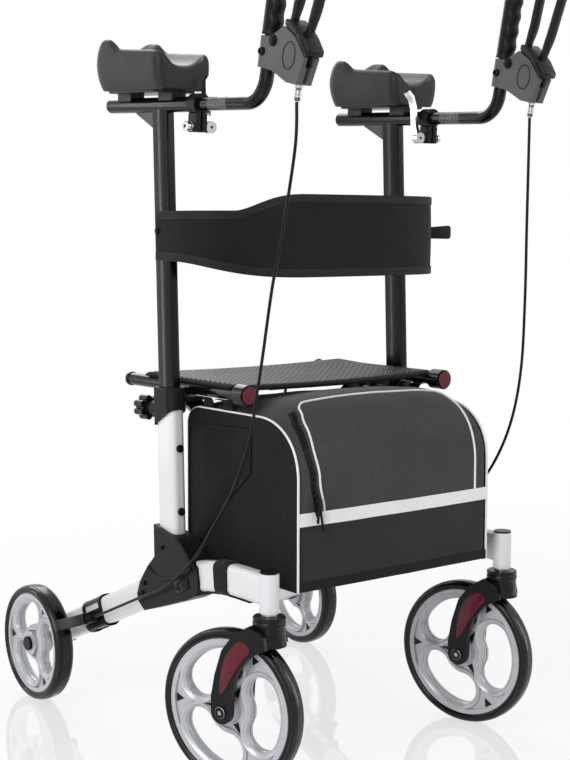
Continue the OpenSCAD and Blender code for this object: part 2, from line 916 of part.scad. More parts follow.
module fork_hardware(x, turn)
    color("#8d9094")
        at_caster(x, turn) {
            translate([0, 0, crown_top - 20])
                cylinder(d = stem_d, h = head_base_z + head_h - crown_top + 18);
            difference() {
                translate([0, 0, crown_top])
                    cylinder(d = 26, h = head_base_z - crown_top - part_gap);
                translate([0, 0, crown_top - eps])
                    cylinder(d = stem_d, h = head_base_z);
            }
            translate([0, caster_trail, front_r]) {
                cross_rod(axle_d, -fork_w / 2, fork_w / 2);
                cross_rod(19, -fork_w / 2 - 4, -fork_w / 2);
                cross_rod(19, fork_w / 2, fork_w / 2 + 4);
            }
        }

module tyre(d, w) {
    soft = 9;
    color("#161617")
        rotate([0, 90, 0])
            rotate_extrude($fn = 180)
                difference() {
                    translate([d / 2 - tyre_h - 6, 0])
                        section(2 * tyre_h + 12, w, soft);
                    translate([-tyre_h, -w])
                        square([d / 2, 2 * w]);
                }
}

// Moulded rim with three openings, set in the tyre and turning on its hub's bore
module rim(d, w, hub_from, hub_to) {
    rim_r = d / 2 - tyre_h;
    web_w = 18;
    out_r = rim_r - 12;
    in_r = out_r * 0.40;
    color("#c6c9cd")
        difference() {
            union() {
                cross_rod(2 * rim_r, -w / 2 + 4, w / 2 - 4);
                cross_rod(44, hub_from, hub_to);
            }
            for (s = [-1, 1])
                translate([s * (web_w + w) / 2, 0, 0])
                    difference() {
                        cross_rod(2 * out_r + 8, -w / 2, w / 2);
                        cross_rod(44, -w, w);
                    }
            for (k = [0 : 2])
                rotate([180 + k * 120, 0, 0])
                    across(2 * w)
                        rim_opening(in_r, out_r - 4);
            cross_rod(axle_d + 2 * run_gap, -2 * w, 2 * w);
        }
}

module front_tyre(x, turn)
    at_front_axle(x, turn)
        tyre(front_wheel_d, front_tyre_w);

module front_rim(x, turn)
    at_front_axle(x, turn)
        rim(front_wheel_d, front_tyre_w, -front_hub_w / 2, front_hub_w / 2);

module rear_tyre()
    at_rear_axle()
        tyre(rear_wheel_d, rear_tyre_w);

module rear_rim()
    at_rear_axle()
        rim(rear_wheel_d, rear_tyre_w, -rear_hub_outer, rear_hub_inner);

// A bean between two radii, with round ends
module rim_opening(in_r, out_r) {
    mid = (in_r + out_r) / 2;
    half = (out_r - in_r) / 2;
    spread = 28;
    intersection() {
        difference() {
            circle(r = out_r);
            circle(r = in_r);
        }
        polygon([[0, 0], 3 * out_r * [cos(spread), -sin(spread)], 3 * out_r * [cos(spread), sin(spread)]]);
    }
    for (s = [-1, 1])
        rotate(s * spread)
            translate([mid, 0])
                circle(r = half - seam);
}

// Rear brake: a cage of two hoops clipped round the leg, and the shoe that slides to the tyre
shoe_out = 76;
shoe_in = tube_width / 2 + hoop_t + part_gap;
shoe_end = barrel_q - barrel_len - 2;

module wheel_brake()
    color("#202123")
        at_rear_leg()
            difference() {
                open_len = brake_to - brake_from - 2 * hoop_w;
                union() {
                    translate([0, -brake_from, 0])
                        rotate([90, 0, 0])
                            linear_extrude(brake_to - brake_from)
                                tube_outer(hoop_t);
                    translate([-cable_side - 7, -barrel_q, -cable_drop - 7])
                        cube([cable_side + 7 - tube_width / 2, barrel_len, 14]);
                }
                rotate([90, 0, 0])
                    linear_extrude(2 * brake_to)
                        tube_outer(run_gap);
                translate([-tube_width / 2 + 3, -brake_to + hoop_w, -tube_depth])
                    cube([tube_width - 6, open_len, 2 * tube_depth]);
                translate([-tube_width, -brake_to + hoop_w, 7])
                    cube([2 * tube_width, open_len, 12]);
                translate([-cable_side, -barrel_q - eps, -cable_drop])
                    long_rod(cable_d + 1, 0, barrel_len - 3);
            }

module brake_shoe()
    color("#1b1b1c")
        difference() {
            at_rear_leg()
                translate([0, 0, -shoe_h + 5])
                    linear_extrude(shoe_h)
                        polygon([
                            [-shoe_out, -96], [-shoe_out, -112], [-54, -126], [-38, -shoe_end],
                            [-shoe_in, -shoe_end], [-shoe_in, -116], [-39, -110], [-41, -96]
                        ]);
            at_rear_axle()
                cross_rod(rear_wheel_d + 2 * shoe_gap, -50, 26);
        }

// Folding brace, seat and soft pieces

// The brace that carries the right seat tube pivots on the left block
module cross_brace(layer_y, pin_bore)
    color("#242528")
        difference() {
            union() {
                translate([seat_x, layer_y, pivot_z])
                    rotate([0, bar_angle - 180, 0])
                        translate([0, -bar_w / 2, -bar_h / 2])
                            cube([bar_len, bar_w, bar_h]);
                translate([seat_x, layer_y, pivot_z])
                    long_rod(bar_h, -bar_w / 2, bar_w / 2);
                translate([-seat_x, 0, seat_z]) {
                    long_rod(seat_tube_d, seat_front, seat_back);
                    long_rod(cup_d, seat_front, seat_front + 26);
                    long_rod(seat_tube_d + 3, seat_back, seat_back + 6);
                }
            }
            translate([seat_x, layer_y, pivot_z])
                long_rod(pivot_d + 2 * run_gap, -bar_w, bar_w);
            translate([0, layer_y, (seat_z + pivot_z) / 2])
                long_rod(pin_bore, -bar_w, bar_w);
        }

module seat_reflector()
    color("#8a1522")
        translate([-seat_x, 0, seat_z])
            long_rod(cup_d - 6, seat_front - 3, seat_front);

module cross_pivot()
    color("#8d9094")
        translate([0, bar_y, (seat_z + pivot_z) / 2]) {
            long_rod(pivot_d, -bar_w / 2, bar_step + bar_w / 2 + part_gap);
            long_rod(20, -bar_w / 2 - 5, -bar_w / 2);
            long_rod(20, bar_step + bar_w / 2 + part_gap, bar_step + bar_w / 2 + 5);
            difference() {
                long_rod(22, bar_w / 2, bar_w / 2 + bar_gap - part_gap);
                long_rod(pivot_d, 0, bar_w);
            }
        }

sling_front = -164;
sling_back = 128;

module seat_sling()
    color("#2d2e31") {
        lift = seat_z + seat_tube_d / 2 + part_gap;
        reach = seat_x + seat_tube_d / 2;
        translate([-reach, sling_front, lift])
            cube([2 * reach, sling_back - sling_front, sling_t]);
        translate([-reach + 30, sling_front - sling_t, lift - 22])
            cube([2 * reach - 60, sling_t, 22 + sling_t]);
    }

arc_steps = 12;
function arc(c, r, from, to) = [for (k = [0 : arc_steps])
    let (a = from + (to - from) * k / arc_steps) c + r * [cos(a), sin(a)]];

module bag_side(inset)
    polygon(concat(
        [[bag_front + inset, bag_base + inset], [bag_back - inset, bag_base + inset]],
        arc([bag_back - bag_back_r, bag_top - bag_back_r], bag_back_r - inset, 0, 90),
        arc([bag_front + bag_front_r, bag_top - bag_front_r], bag_front_r - inset, 90, 180)
    ));

// Straps from the bag's sides to the seat tubes, and round the legs at two angles of their bend
strap_y = [-130, -75];
strap_w = 25;
strap_t = 3;
leg_strap = [2.1, 6.1];
leg_strap_z = leg_level_z + 2;

module bag_strap(y) {
    top = seat_z - seat_tube_d / 2 - part_gap;
    translate([bag_x - strap_t, y - strap_w / 2, bag_top - bag_front_r])
        cube([strap_t, strap_w, top - bag_top + bag_front_r]);
    translate([bag_x - strap_t, y - strap_w / 2, top - strap_t])
        cube([seat_x + seat_tube_d / 2 - bag_x + strap_t, strap_w, strap_t]);
}

module leg_loop() {
    from_y = bend_start_y + leg_bend_r * sin(leg_strap[0]);
    to_y = bend_start_y + leg_bend_r * sin(leg_strap[1]);
    difference() {
        leg_bend(leg_strap[0], leg_strap[1])
            tube_outer(strap_t + part_gap);
        leg_bend(leg_strap[0] - 1, leg_strap[1] + 1)
            tube_outer(part_gap);
    }
    translate([-frame_x + tube_width / 2 + strap_t / 2, from_y + 3, leg_strap_z])
        cube([frame_x - bag_x - (tube_width - strap_t) / 2, to_y - from_y - 6, strap_t]);
}

module carry_bag()
    color("#242527") {
        difference() {
            across(2 * bag_x)
                bag_side(0);
            across(2 * bag_x - 2 * bag_wall)
                bag_side(bag_wall);
        }
        for (y = strap_y, left = [0, 1])
            mirror([left, 0, 0])
                bag_strap(y);
        leg_loop();
        on_left()
            leg_loop();
    }

// The belt runs from mast to mast in a deep curve, higher in the middle than at its ends
belt_rings = 41;
belt_power = 0.5;
function signed_pow(v, p) = (v < 0 ? -1 : 1) * pow(abs(v), p);
function belt_at(a, out) = let (half = frame_x + mast_width / 2 + part_gap)
    [
        (half + out) * signed_pow(cos(a), belt_power),
        -(belt_reach + out) * signed_pow(sin(a), belt_power)
    ];
function belt_ring(t) = let (
        a = 180 - 180 * t,
        more = (belt_mid_h - belt_end_h) / 2 * smooth((1 - t) / 0.14),
        low = belt_z - belt_end_h / 2 - more * smooth(t / 0.5),
        top = belt_z + belt_end_h / 2 + more * smooth((t - 0.3) / 0.18),
        i = belt_at(a, 0), o = belt_at(a, belt_t), y = mast_y + 14
    ) [
        [i[0], y + i[1], low], [o[0], y + o[1], low], [o[0], y + o[1], top], [i[0], y + i[1], top]
    ];

module back_belt()
    color("#1f2023")
        ring_mesh([for (i = [0 : belt_rings - 1]) belt_ring(i / (belt_rings - 1))]);

// One line for each piece

leg_tube();  // right_leg_tube
on_left() leg_tube();  // left_leg_tube
upright_tube();  // right_upright_tube
on_left() upright_tube();  // left_upright_tube
hinge_block(front_bar_y);  // right_hinge_block
on_left() hinge_block(rear_bar_y);  // left_hinge_block
upper_collar();  // right_upper_collar
on_left() upper_collar();  // left_upper_collar
height_knob();  // right_height_knob
on_left() height_knob();  // left_height_knob
mast_tube();  // right_mast_tube
on_left() mast_tube();  // left_mast_tube
arm_tube();  // right_arm_tube
on_left() arm_tube();  // left_arm_tube
pad_plate();  // right_pad_plate
on_left() pad_plate();  // left_pad_plate
arm_pad();  // right_arm_pad
on_left() arm_pad();  // left_arm_pad
reach_clamp();  // right_reach_clamp
on_left() reach_clamp();  // left_reach_clamp
clamp_lever();  // right_clamp_lever
on_left() clamp_lever();  // left_clamp_lever
handle_tube();  // right_handle_tube
on_left() handle_tube();  // left_handle_tube
lever_housing();  // right_lever_housing
on_left() lever_housing();  // left_lever_housing
grip();  // right_grip
on_left() grip();  // left_grip
brake_lever();  // right_brake_lever
on_left() brake_lever();  // left_brake_lever
rear_tyre();  // right_rear_tyre
on_left() rear_tyre();  // left_rear_tyre
rear_rim();  // right_rear_rim
on_left() rear_rim();  // left_rear_rim
wheel_brake();  // right_wheel_brake
on_left() wheel_brake();  // left_wheel_brake
brake_shoe();  // right_brake_shoe
on_left() brake_shoe();  // left_brake_shoe
seat_reflector();  // right_seat_reflector
on_left() seat_reflector();  // left_seat_reflector
cross_brace(rear_bar_y, pivot_d + 2 * run_gap);  // right_cross_brace
on_left() cross_brace(front_bar_y, pivot_d);  // left_cross_brace
frame_fasteners(front_bar_y);  // right_frame_fasteners
on_left() frame_fasteners(rear_bar_y);  // left_frame_fasteners
brake_cable(right_route);  // right_brake_cable
on_left() brake_cable(left_route);  // left_brake_cable
caster_fork(-frame_x, right_turn);  // right_caster_fork
caster_fork(frame_x, left_turn);  // left_caster_fork
fork_reflectors(-frame_x, right_turn);  // right_fork_reflectors
fork_reflectors(frame_x, left_turn);  // left_fork_reflectors
fork_hardware(-frame_x, right_turn);  // right_fork_hardware
fork_hardware(frame_x, left_turn);  // left_fork_hardware
front_tyre(-frame_x, right_turn);  // right_front_tyre
front_tyre(frame_x, left_turn);  // left_front_tyre
front_rim(-frame_x, right_turn);  // right_front_rim
front_rim(frame_x, left_turn);  // left_front_rim
seat_sling();
carry_bag();
back_belt();
cross_pivot();
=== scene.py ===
"""Looks of an upright folding walker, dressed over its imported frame."""
import logging
from collections.abc import Iterable, Sequence
from dataclasses import dataclass, field
from enum import Enum
from math import copysign, cos, hypot, pi, radians, sin, sqrt, tau

import bmesh
import bpy
from mathutils import Matrix, Vector, noise


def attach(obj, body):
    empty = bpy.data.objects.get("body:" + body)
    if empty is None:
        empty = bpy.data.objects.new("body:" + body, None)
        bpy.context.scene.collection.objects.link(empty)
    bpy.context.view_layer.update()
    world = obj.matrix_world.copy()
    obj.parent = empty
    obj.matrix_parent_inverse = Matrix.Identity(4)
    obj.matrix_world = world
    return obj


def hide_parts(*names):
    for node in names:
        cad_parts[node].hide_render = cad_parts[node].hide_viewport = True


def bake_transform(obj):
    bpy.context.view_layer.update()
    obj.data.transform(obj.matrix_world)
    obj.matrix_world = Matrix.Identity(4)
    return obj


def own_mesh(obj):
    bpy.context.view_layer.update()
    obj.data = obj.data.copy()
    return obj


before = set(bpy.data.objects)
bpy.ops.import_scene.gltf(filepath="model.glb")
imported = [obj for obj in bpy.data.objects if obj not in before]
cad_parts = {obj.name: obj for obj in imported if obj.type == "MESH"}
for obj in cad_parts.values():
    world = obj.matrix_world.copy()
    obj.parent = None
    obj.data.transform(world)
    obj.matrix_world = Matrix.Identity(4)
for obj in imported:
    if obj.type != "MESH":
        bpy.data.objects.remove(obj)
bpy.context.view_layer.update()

LOG = logging.getLogger("walker")
Point = tuple[float, float, float]
Colour = tuple[float, float, float]
Pair = tuple[float, float]
Outline = Sequence[Pair]
BMesh = bmesh.types.BMesh


class Side(Enum):
    """The user's own side; the right one lies at negative x."""

    RIGHT = "right"
    LEFT = "left"

    @property
    def sign(self) -> int:
        """-1 for the right side and 1 for the left."""
        return -1 if self is Side.RIGHT else 1

    def name_of(self, part: str) -> str:
        """The name of this side's own part."""
        return f"{self.value}_{part}"


def placed(name: str, data: bpy.types.ID) -> bpy.types.Object:
    """A new object of the scene.

    Args:
        name: Its name.
        data: Its mesh, curve, camera or lamp.

    Returns:
        The object.
    """
    made = bpy.data.objects.new(name, data)
    bpy.context.scene.collection.objects.link(made)
    return made


# Shader graphs


class Value:
    """A shader socket that takes part in arithmetic."""

    def __init__(self, graph: "Graph", socket: bpy.types.NodeSocket) -> None:
        """Keeps the socket and the graph that it belongs to."""
        self.graph = graph
        self.socket = socket

    def math(self, operation: str, *terms: "Value | float") -> "Value":
        """Adds a Math node over the terms."""
        return self.graph.add("ShaderNodeMath", {"operation": operation}, dict(enumerate(terms)))

    def __add__(self, other: "Value | float") -> "Value":
        """Sum."""
        return self.math("ADD", self, other)

    def __sub__(self, other: "Value | float") -> "Value":
        """Difference."""
        return self.math("SUBTRACT", self, other)

    def __rsub__(self, other: float) -> "Value":
        """Difference from a number."""
        return self.math("SUBTRACT", other, self)

    def __mul__(self, other: "Value | float") -> "Value":
        """Product."""
        return self.math("MULTIPLY", self, other)

    __radd__ = __add__
    __rmul__ = __mul__

    def sine(self) -> "Value":
        """Sine of the value."""
        return self.math("SINE", self)

    def above(self, edge: float, soft: float) -> "Value":
        """Rises from 0 to 1 around an edge.

        Args:
            edge: Value at the middle of the rise.
            soft: Width of the rise.

        Returns:
            The clamped mask.
        """
        raised = (self - (edge - soft / 2)) * (1 / soft)
        raised.socket.node.use_clamp = True
        return raised


class Graph:
    """Node tree of one material or sky."""

    def __init__(self, owner: bpy.types.Material | bpy.types.World) -> None:
        """Starts from the shader and the output that a new tree has.

        Args:
            owner: A new material or sky.
        """
        self.owner = owner
        owner.use_nodes = True
        self.tree = owner.node_tree
        self.shader = next(n for n in self.tree.nodes if n.type in ("BSDF_PRINCIPLED", "BACKGROUND"))

    def add(self, kind: str, settings: dict | None = None, inputs: dict | None = None, output: int = 0) -> Value:
        """Adds a node.

        Args:
            kind: Node type.
            settings: Attributes, set before the inputs.
            inputs: Values or links by input name or index.
            output: Index of the output to return.

        Returns:
            The chosen output.
        """
        node = self.tree.nodes.new(kind)
        for key, setting in (settings or {}).items():
            setattr(node, key, setting)
        for key, value in (inputs or {}).items():
            self.feed(node.inputs[key], value)
        return Value(self, node.outputs[output])

    def feed(self, socket: bpy.types.NodeSocket, value: "Value | float | Sequence[float]") -> None:
        """Links or sets one input.

        Args:
            socket: Input of a node.
            value: Link, number or colour.
        """
        if isinstance(value, Value):
            self.tree.links.new(value.socket, socket)
        else:
            socket.default_value = value

    def put(self, **inputs: "Value | float | Sequence[float]") -> None:
        """Feeds the shader's sockets, with spaces written as underscores."""
        for key, value in inputs.items():
            self.feed(self.shader.inputs[key.replace("_", " ")], value)

    def coords(self) -> Value:
        """Object coordinates."""
        return self.add("ShaderNodeTexCoord", output=3)

    def scaled(self, place: Value, by: Point) -> Value:
        """A place scaled by axis."""
        return self.add("ShaderNodeMapping", {}, {"Vector": place, "Scale": by})

    def axes(self, place: Value) -> tuple[Value, Value, Value]:
        """The three coordinates of a place."""
        split = self.add("ShaderNodeSeparateXYZ", {}, {0: place}).socket.node
        return tuple(Value(self, s) for s in split.outputs)

    def noise(self, place: Value, scale: float, detail: float = 2.0) -> Value:
        """Noise between about 0.3 and 0.7."""
        return self.add("ShaderNodeTexNoise", {}, {"Vector": place, "Scale": scale, "Detail": detail})

    def mix(self, share: Value, low: "Colour | Value", high: "Colour | Value") -> Value:
        """Blends two colours by a varying share."""
        ends = {k: c if isinstance(c, Value) else (*c, 1) for k, c in ((6, low), (7, high))}
        return self.add("ShaderNodeMix", {"data_type": "RGBA"}, {0: share, **ends}, output=2)

    def mottled(self, share: Value, colour: Colour, by: float) -> Value:
        """A colour that varies from darker to lighter by a varying share."""
        return self.mix(share, shade(colour, 1 - by), shade(colour, 1 + by))

    def bump(self, height: Value, depth: float) -> Value:
        """Surface relief of a depth in metres."""
        return self.add("ShaderNodeBump", {}, {"Height": height, "Distance": depth, "Strength": 1.0})


def shade(colour: Colour, share: float) -> Colour:
    """The colour made lighter or darker."""
    return tuple(min(1.0, c * share) for c in colour)


# Finishes

COAT_ROUGHNESS = 0.12
THREAD_STRETCH = 0.1
SHEEN = 0.05


@dataclass(frozen=True)
class Finish:
    """Paint, moulded plastic, rubber or metal with a fine grain.

    grain is in spots per metre, relief in metres, and mottle is the share by which the colour varies.
    """

    name: str
    slot: str
    colour: Colour
    roughness: float
    metallic: float = 0.0
    coat: float = 0.0
    grain: float = 900.0
    relief: float = 0.00003
    mottle: float = 0.14
    specular: float = 0.12

    def material(self) -> bpy.types.Material:
        """The finish's material, made once.

        Returns:
            The material.
        """
        found = bpy.data.materials.get(self.name)
        if found:
            return found
        graph = Graph(bpy.data.materials.new(self.name))
        graph.put(
            Metallic=self.metallic, Specular_IOR_Level=self.specular, Coat_Weight=self.coat,
            Coat_Roughness=COAT_ROUGHNESS,
        )
        self.paint(graph, graph.coords())
        return graph.owner

    def paint(self, graph: Graph, place: Value) -> None:
        """Adds the varying colour, roughness and relief.

        Args:
            graph: Node tree to fill.
            place: Object coordinates.
        """
        fine = graph.noise(place, self.grain, 3)
        broad = graph.noise(place, self.grain / 60, 4)
        worn = broad.above(0.5, 0.35)
        graph.put(
            Base_Color=graph.mottled(worn, self.colour, self.mottle),
            Roughness=self.roughness * (0.82 + 0.2 * fine + 0.16 * worn),
            Normal=graph.bump(fine, self.relief),
        )


@dataclass(frozen=True)
class Weave(Finish):
    """Woven cloth; grain is threads per metre."""

    specular: float = 0.1

    def paint(self, graph: Graph, place: Value) -> None:
        """Crosses two sets of long uneven threads.

        Args:
            graph: Node tree to fill.
            place: Object coordinates.
        """
        along = graph.scaled(place, (THREAD_STRETCH, 1, 1))
        over = graph.scaled(place, (1, THREAD_STRETCH, THREAD_STRETCH))
        weave = graph.noise(along, self.grain) + graph.noise(over, self.grain)
        fade = graph.noise(place, 14, 4).above(0.5, 0.4)
        thread = weave.above(1, 0.5)
        graph.put(
            Base_Color=self.dye(graph, place, thread * 0.6 + fade * 0.4),
            Roughness=self.roughness * (1.06 - 0.12 * thread),
            Sheen_Weight=SHEEN,
            Normal=graph.bump(weave, self.relief),
        )

    def dye(self, graph: Graph, place: Value, tone: Value) -> Value:
        """The cloth's colour by tone."""
        return graph.mottled(tone, self.colour, self.mottle)


@dataclass(frozen=True)
class TwoTone(Weave):
    """Cloth that is darker below a seam."""

    low_share: float = 0.5
    seam: float = 0.428

    def dye(self, graph: Graph, place: Value, tone: Value) -> Value:
        """The upper colour, and a darker one below the seam's height.

        Args:
            graph: Node tree to fill.
            place: Object coordinates.
            tone: Varying share of the lighter tone.

        Returns:
            The colour.
        """
        upper = super().dye(graph, place, tone)
        lower = graph.mottled(tone, shade(self.colour, self.low_share), self.mottle)
        return graph.mix(graph.axes(place)[2].above(self.seam, 0.002), lower, upper)


@dataclass(frozen=True)
class IndexedTube(Finish):
    """Tube with a stretch of fine index ribs; grain is the ribs per metre."""

    ribs_from: float = -0.2
    ribs_to: float = -0.15
    rib_colour: Colour = (0.22, 0.22, 0.23)

    def paint(self, graph: Graph, place: Value) -> None:
        """Fine ribs from front to back over one stretch.

        Args:
            graph: Node tree to fill.
            place: Object coordinates.
        """
        _, y, _ = graph.axes(place)
        band = y.above(self.ribs_from, 0.003) * (1 - y.above(self.ribs_to, 0.003))
        rib = (y * (tau * self.grain)).sine().above(0.2, 0.8) * band
        worn = graph.noise(place, 18, 4).above(0.5, 0.35)
        graph.put(
            Base_Color=graph.mix(rib, self.colour, self.rib_colour),
            Roughness=self.roughness * (0.9 + 0.16 * worn),
            Normal=graph.bump(rib, self.relief),
        )


@dataclass(frozen=True)
class Lens(Finish):
    """Reflector lens with small moulded cells; grain is cells per metre."""

    def paint(self, graph: Graph, place: Value) -> None:
        """Cells under a smooth coat, each painted lighter at its middle and darker at its edge: painted glints and
        shade of the lens's prisms.

        Args:
            graph: Node tree to fill.
            place: Object coordinates.
        """
        cell = graph.add("ShaderNodeTexVoronoi", {}, {"Vector": place, "Scale": self.grain, "Randomness": 0.1})
        # Painted glints and shade: each cell is lighter at its middle and darker towards its edge
        bright = cell.above(0.45, 0.5)
        graph.put(
            Base_Color=graph.mottled(bright, self.colour, -self.mottle),
            Roughness=self.roughness * (0.8 + 0.4 * bright),
            Normal=graph.bump(cell, self.relief),
        )


@dataclass(frozen=True)
class Skin(Finish):
    """Moulded foam skin with a pebbled grain."""

    def paint(self, graph: Graph, place: Value) -> None:
        """Pebbles with fine pores between them.

        Args:
            graph: Node tree to fill.
            place: Object coordinates.
        """
        pebble = graph.add("ShaderNodeTexVoronoi", {"feature": "SMOOTH_F1"}, {"Vector": place, "Scale": self.grain})
        pores = graph.noise(place, self.grain * 3, 2)
        broad = graph.noise(place, 22, 4).above(0.5, 0.4)
        height = pores * 0.3 - pebble
        graph.put(
            Base_Color=graph.mottled(broad, self.colour, self.mottle),
            Roughness=self.roughness * (0.85 + 0.2 * pores + 0.1 * broad),
            Normal=graph.bump(height, self.relief),
        )


WHITE = Finish(
    "white powder coat", "white_frame", (0.67, 0.675, 0.69), 0.32, coat=0.2, grain=700, mottle=0.012, specular=0.5
)
TUBE = Finish(
    "satin black tube", "black_tube", (0.0028, 0.0028, 0.0033), 0.17, grain=1100, relief=0.000004, specular=0.2
)
RIBBED_TUBE = IndexedTube(
    "indexed black tube", "black_tube", (0.0028, 0.0028, 0.0033), 0.17, grain=280, relief=0.0004, specular=0.2
)
CHARCOAL = Finish("charcoal moulding", "charcoal", (0.0075, 0.0077, 0.0087), 0.4, relief=0.00004)
BLACK = Finish("black moulding", "black_plastic", (0.0045, 0.0045, 0.0052), 0.3, specular=0.2)
GREY = Finish("grey moulding", "grey_plastic", (0.096, 0.097, 0.101), 0.46, relief=0.00006, mottle=0.12)
SILVER = Finish(
    "silver rim", "silver_plastic", (0.45, 0.46, 0.485), 0.3, metallic=0.2, coat=0.25, grain=1600, relief=0.000006,
    mottle=0.04, specular=0.4,
)
CHROME = Finish("bright plating", "bright_steel", (0.5, 0.51, 0.53), 0.16, metallic=1.0, relief=0.000004)
STEEL = Finish("plain steel", "plain_steel", (0.42, 0.43, 0.45), 0.3, metallic=1.0, relief=0.00001)
DARK_STEEL = Finish("black screw", "dark_steel", (0.009, 0.009, 0.0105), 0.3, metallic=0.3, relief=0.00001)
CLAMP = Finish("clamp casting", "clamp_steel", (0.011, 0.0115, 0.013), 0.3, metallic=0.2, relief=0.00002)
RUBBER = Finish(
    "tyre rubber", "tyre", (0.0026, 0.0026, 0.003), 0.2, grain=500, relief=0.00002, mottle=0.3, specular=0.3
)
GRIP = Finish("grip rubber", "grip_rubber", (0.0065, 0.0065, 0.007), 0.36, grain=700, relief=0.00005)
SLEEVE = Finish("cable sleeve", "cable_sleeve", (0.0065, 0.0065, 0.007), 0.3, grain=600, relief=0.00002)
LENS = Lens(
    "red lens", "reflector", (0.1, 0.0016, 0.012), 0.16, coat=0.45, grain=1100, relief=0.00008, mottle=0.4
)
PAD = Skin(
    "foam skin", "pad_foam", (0.024, 0.0243, 0.026), 0.36, grain=620, relief=0.00016, mottle=0.2, specular=0.16
)
# Near-black sheet under the seat's yarns: painted shade in the gaps of the open weave
MESH = Weave("seat gap shade", "mesh_cloth", (0.004, 0.004, 0.0045), 0.8, relief=0.00005, specular=0.05)
YARN = Finish(
    "coated yarn", "mesh_cloth", (0.012, 0.012, 0.0135), 0.34, grain=1500, relief=0.00001, specular=0.25
)
BAG_DARK = Weave(
    "bag side cloth", "bag_cloth", (0.0072, 0.0072, 0.008), 0.72, grain=1400, relief=0.0001, mottle=0.4
)
BAG_GREY = TwoTone(
    "bag front cloth", "bag_cloth", (0.05, 0.0505, 0.053), 0.74, grain=1400, relief=0.0001, mottle=0.22
)
BELT = Weave("belt cloth", "belt_cloth", (0.0078, 0.0078, 0.009), 0.7, grain=1400, relief=0.0001, mottle=0.4)
WEBBING = Weave("webbing", "bag_cloth", (0.0062, 0.0062, 0.007), 0.6, grain=500, relief=0.00015, mottle=0.35)
PIPING = Weave("pale piping", "bag_cloth", (0.76, 0.76, 0.77), 0.55, grain=700, relief=0.00008, mottle=0.06)
TAPE = Weave("pale tape", "bag_cloth", (0.8, 0.81, 0.82), 0.4, grain=420, relief=0.00005, mottle=0.07)
BINDING = Weave(
    "belt binding", "belt_cloth", (0.016, 0.016, 0.0175), 0.62, grain=1100, relief=0.00016, mottle=0.3
)
THREAD = Weave("thread", "belt_cloth", (0.03, 0.03, 0.033), 0.6, grain=2400, relief=0.00004, mottle=0.2)


# Shapes in millimetres, in the frame of the solids

# Smallest angle between faces that gets rounded, in degrees
ROUNDED_FROM = 38.0


def moved(x: float, y: float, z: float) -> Matrix:
    """A shift."""
    return Matrix.Translation((x, y, z))


def turned(axis: str, degrees: float) -> Matrix:
    """A turn about an axis."""
    return Matrix.Rotation(radians(degrees), 4, axis)


def even(low: float, high: float, steps: int) -> list[float]:
    """Evenly spaced numbers from low to high, both included."""
    return [low + (high - low) * k / steps for k in range(steps + 1)]


def polar(r: float, degrees: float) -> Vector:
    """A flat point by radius and angle."""
    return Vector((r * cos(radians(degrees)), r * sin(radians(degrees))))


def lerp(points: Outline, at: float) -> float:
    """Value at a place along a row of points, with smooth steps.

    Args:
        points: Places and their values, in order.
        at: Place to look up.

    Returns:
        The value.
    """
    if at <= points[0][0]:
        return points[0][1]
    for (a, low), (b, high) in zip(points, points[1:]):
        if at <= b:
            t = (at - a) / (b - a)
            return low + (high - low) * t * t * (3 - 2 * t)
    return points[-1][1]


def spline(points: Sequence[Sequence[float]], steps: int) -> list[Vector]:
    """A smooth line through points, the same one that the cables' solids follow.

    Args:
        points: Points on the line.
        steps: Number of stretches between two points.

    Returns:
        Points along the line.
    """
    p = [Vector(q) for q in points]
    line = []
    for i in range(len(p) - 1):
        a, b, c, d = p[max(i - 1, 0)], p[i], p[i + 1], p[min(i + 2, len(p) - 1)]
        for k in range(steps):
            t = k / steps
            line.append(b + 0.5 * t * ((c - a) + t * ((2 * a - 5 * b + 4 * c - d) + t * (3 * b - 3 * c + d - a))))
    return line + [p[-1]]


def looped(points: Sequence[Sequence[float]], steps: int) -> list[Vector]:
    """A smooth loop through points, with a number of stretches between two."""
    ring = [points[-1], *points, points[0], points[1]]
    return spline(ring, steps)[steps:steps * (len(points) + 1)]


def lathe(profile: Outline, place: Matrix, steps: int) -> BMesh:
    """Turns a profile round the z axis of a place.

    Args:
        profile: Radius and height of each point.
        place: Frame of the turned shape.
        steps: Number of stretches round the axis.

    Returns:
        The closed shape.
    """
    bm = bmesh.new()
    verts = [bm.verts.new((r, 0, h)) for r, h in profile]
    edges = [bm.edges.new(pair) for pair in zip(verts, verts[1:])]
    bmesh.ops.spin(
        bm, geom=verts + edges, cent=(0, 0, 0), axis=(0, 0, 1), angle=tau, steps=steps, use_merge=True
    )
    bmesh.ops.remove_doubles(bm, verts=bm.verts, dist=1e-4)
    bmesh.ops.recalc_face_normals(bm, faces=bm.faces)
    bmesh.ops.transform(bm, matrix=place, verts=bm.verts)
    return bm


def prism(outline: Iterable[Point], push: Point, round_by: float) -> BMesh:
    """Pushes a flat outline to a solid.

    Args:
        outline: Corners of the flat face.
        push: Direction and height of the solid.
        round_by: Radius of its edges.

    Returns:
        The solid.
    """
    bm = bmesh.new()
    face = bm.faces.new([bm.verts.new(p) for p in outline])
    pushed = bmesh.ops.extrude_face_region(bm, geom=[face], use_keep_orig=True)["geom"]
    bmesh.ops.translate(bm, vec=push, verts=[g for g in pushed if isinstance(g, bmesh.types.BMVert)])
    bmesh.ops.recalc_face_normals(bm, faces=bm.faces)
    soften(bm, round_by)
    return bm


def soften(bm: BMesh, radius: float, segments: int = 2) -> None:
    """Rounds the sharp edges of a shape.

    Args:
        bm: Shape to change.
        radius: Width of the rounding.
        segments: Steps across it.
    """
    sharp = [e for e in bm.edges if len(e.link_faces) == 2 and e.calc_face_angle(0) > radians(ROUNDED_FROM)]
    bmesh.ops.bevel(
        bm, geom=sharp, offset=radius, offset_type="OFFSET", segments=segments, profile=0.5,
        affect="EDGES", clamp_overlap=True, material=-1,
    )


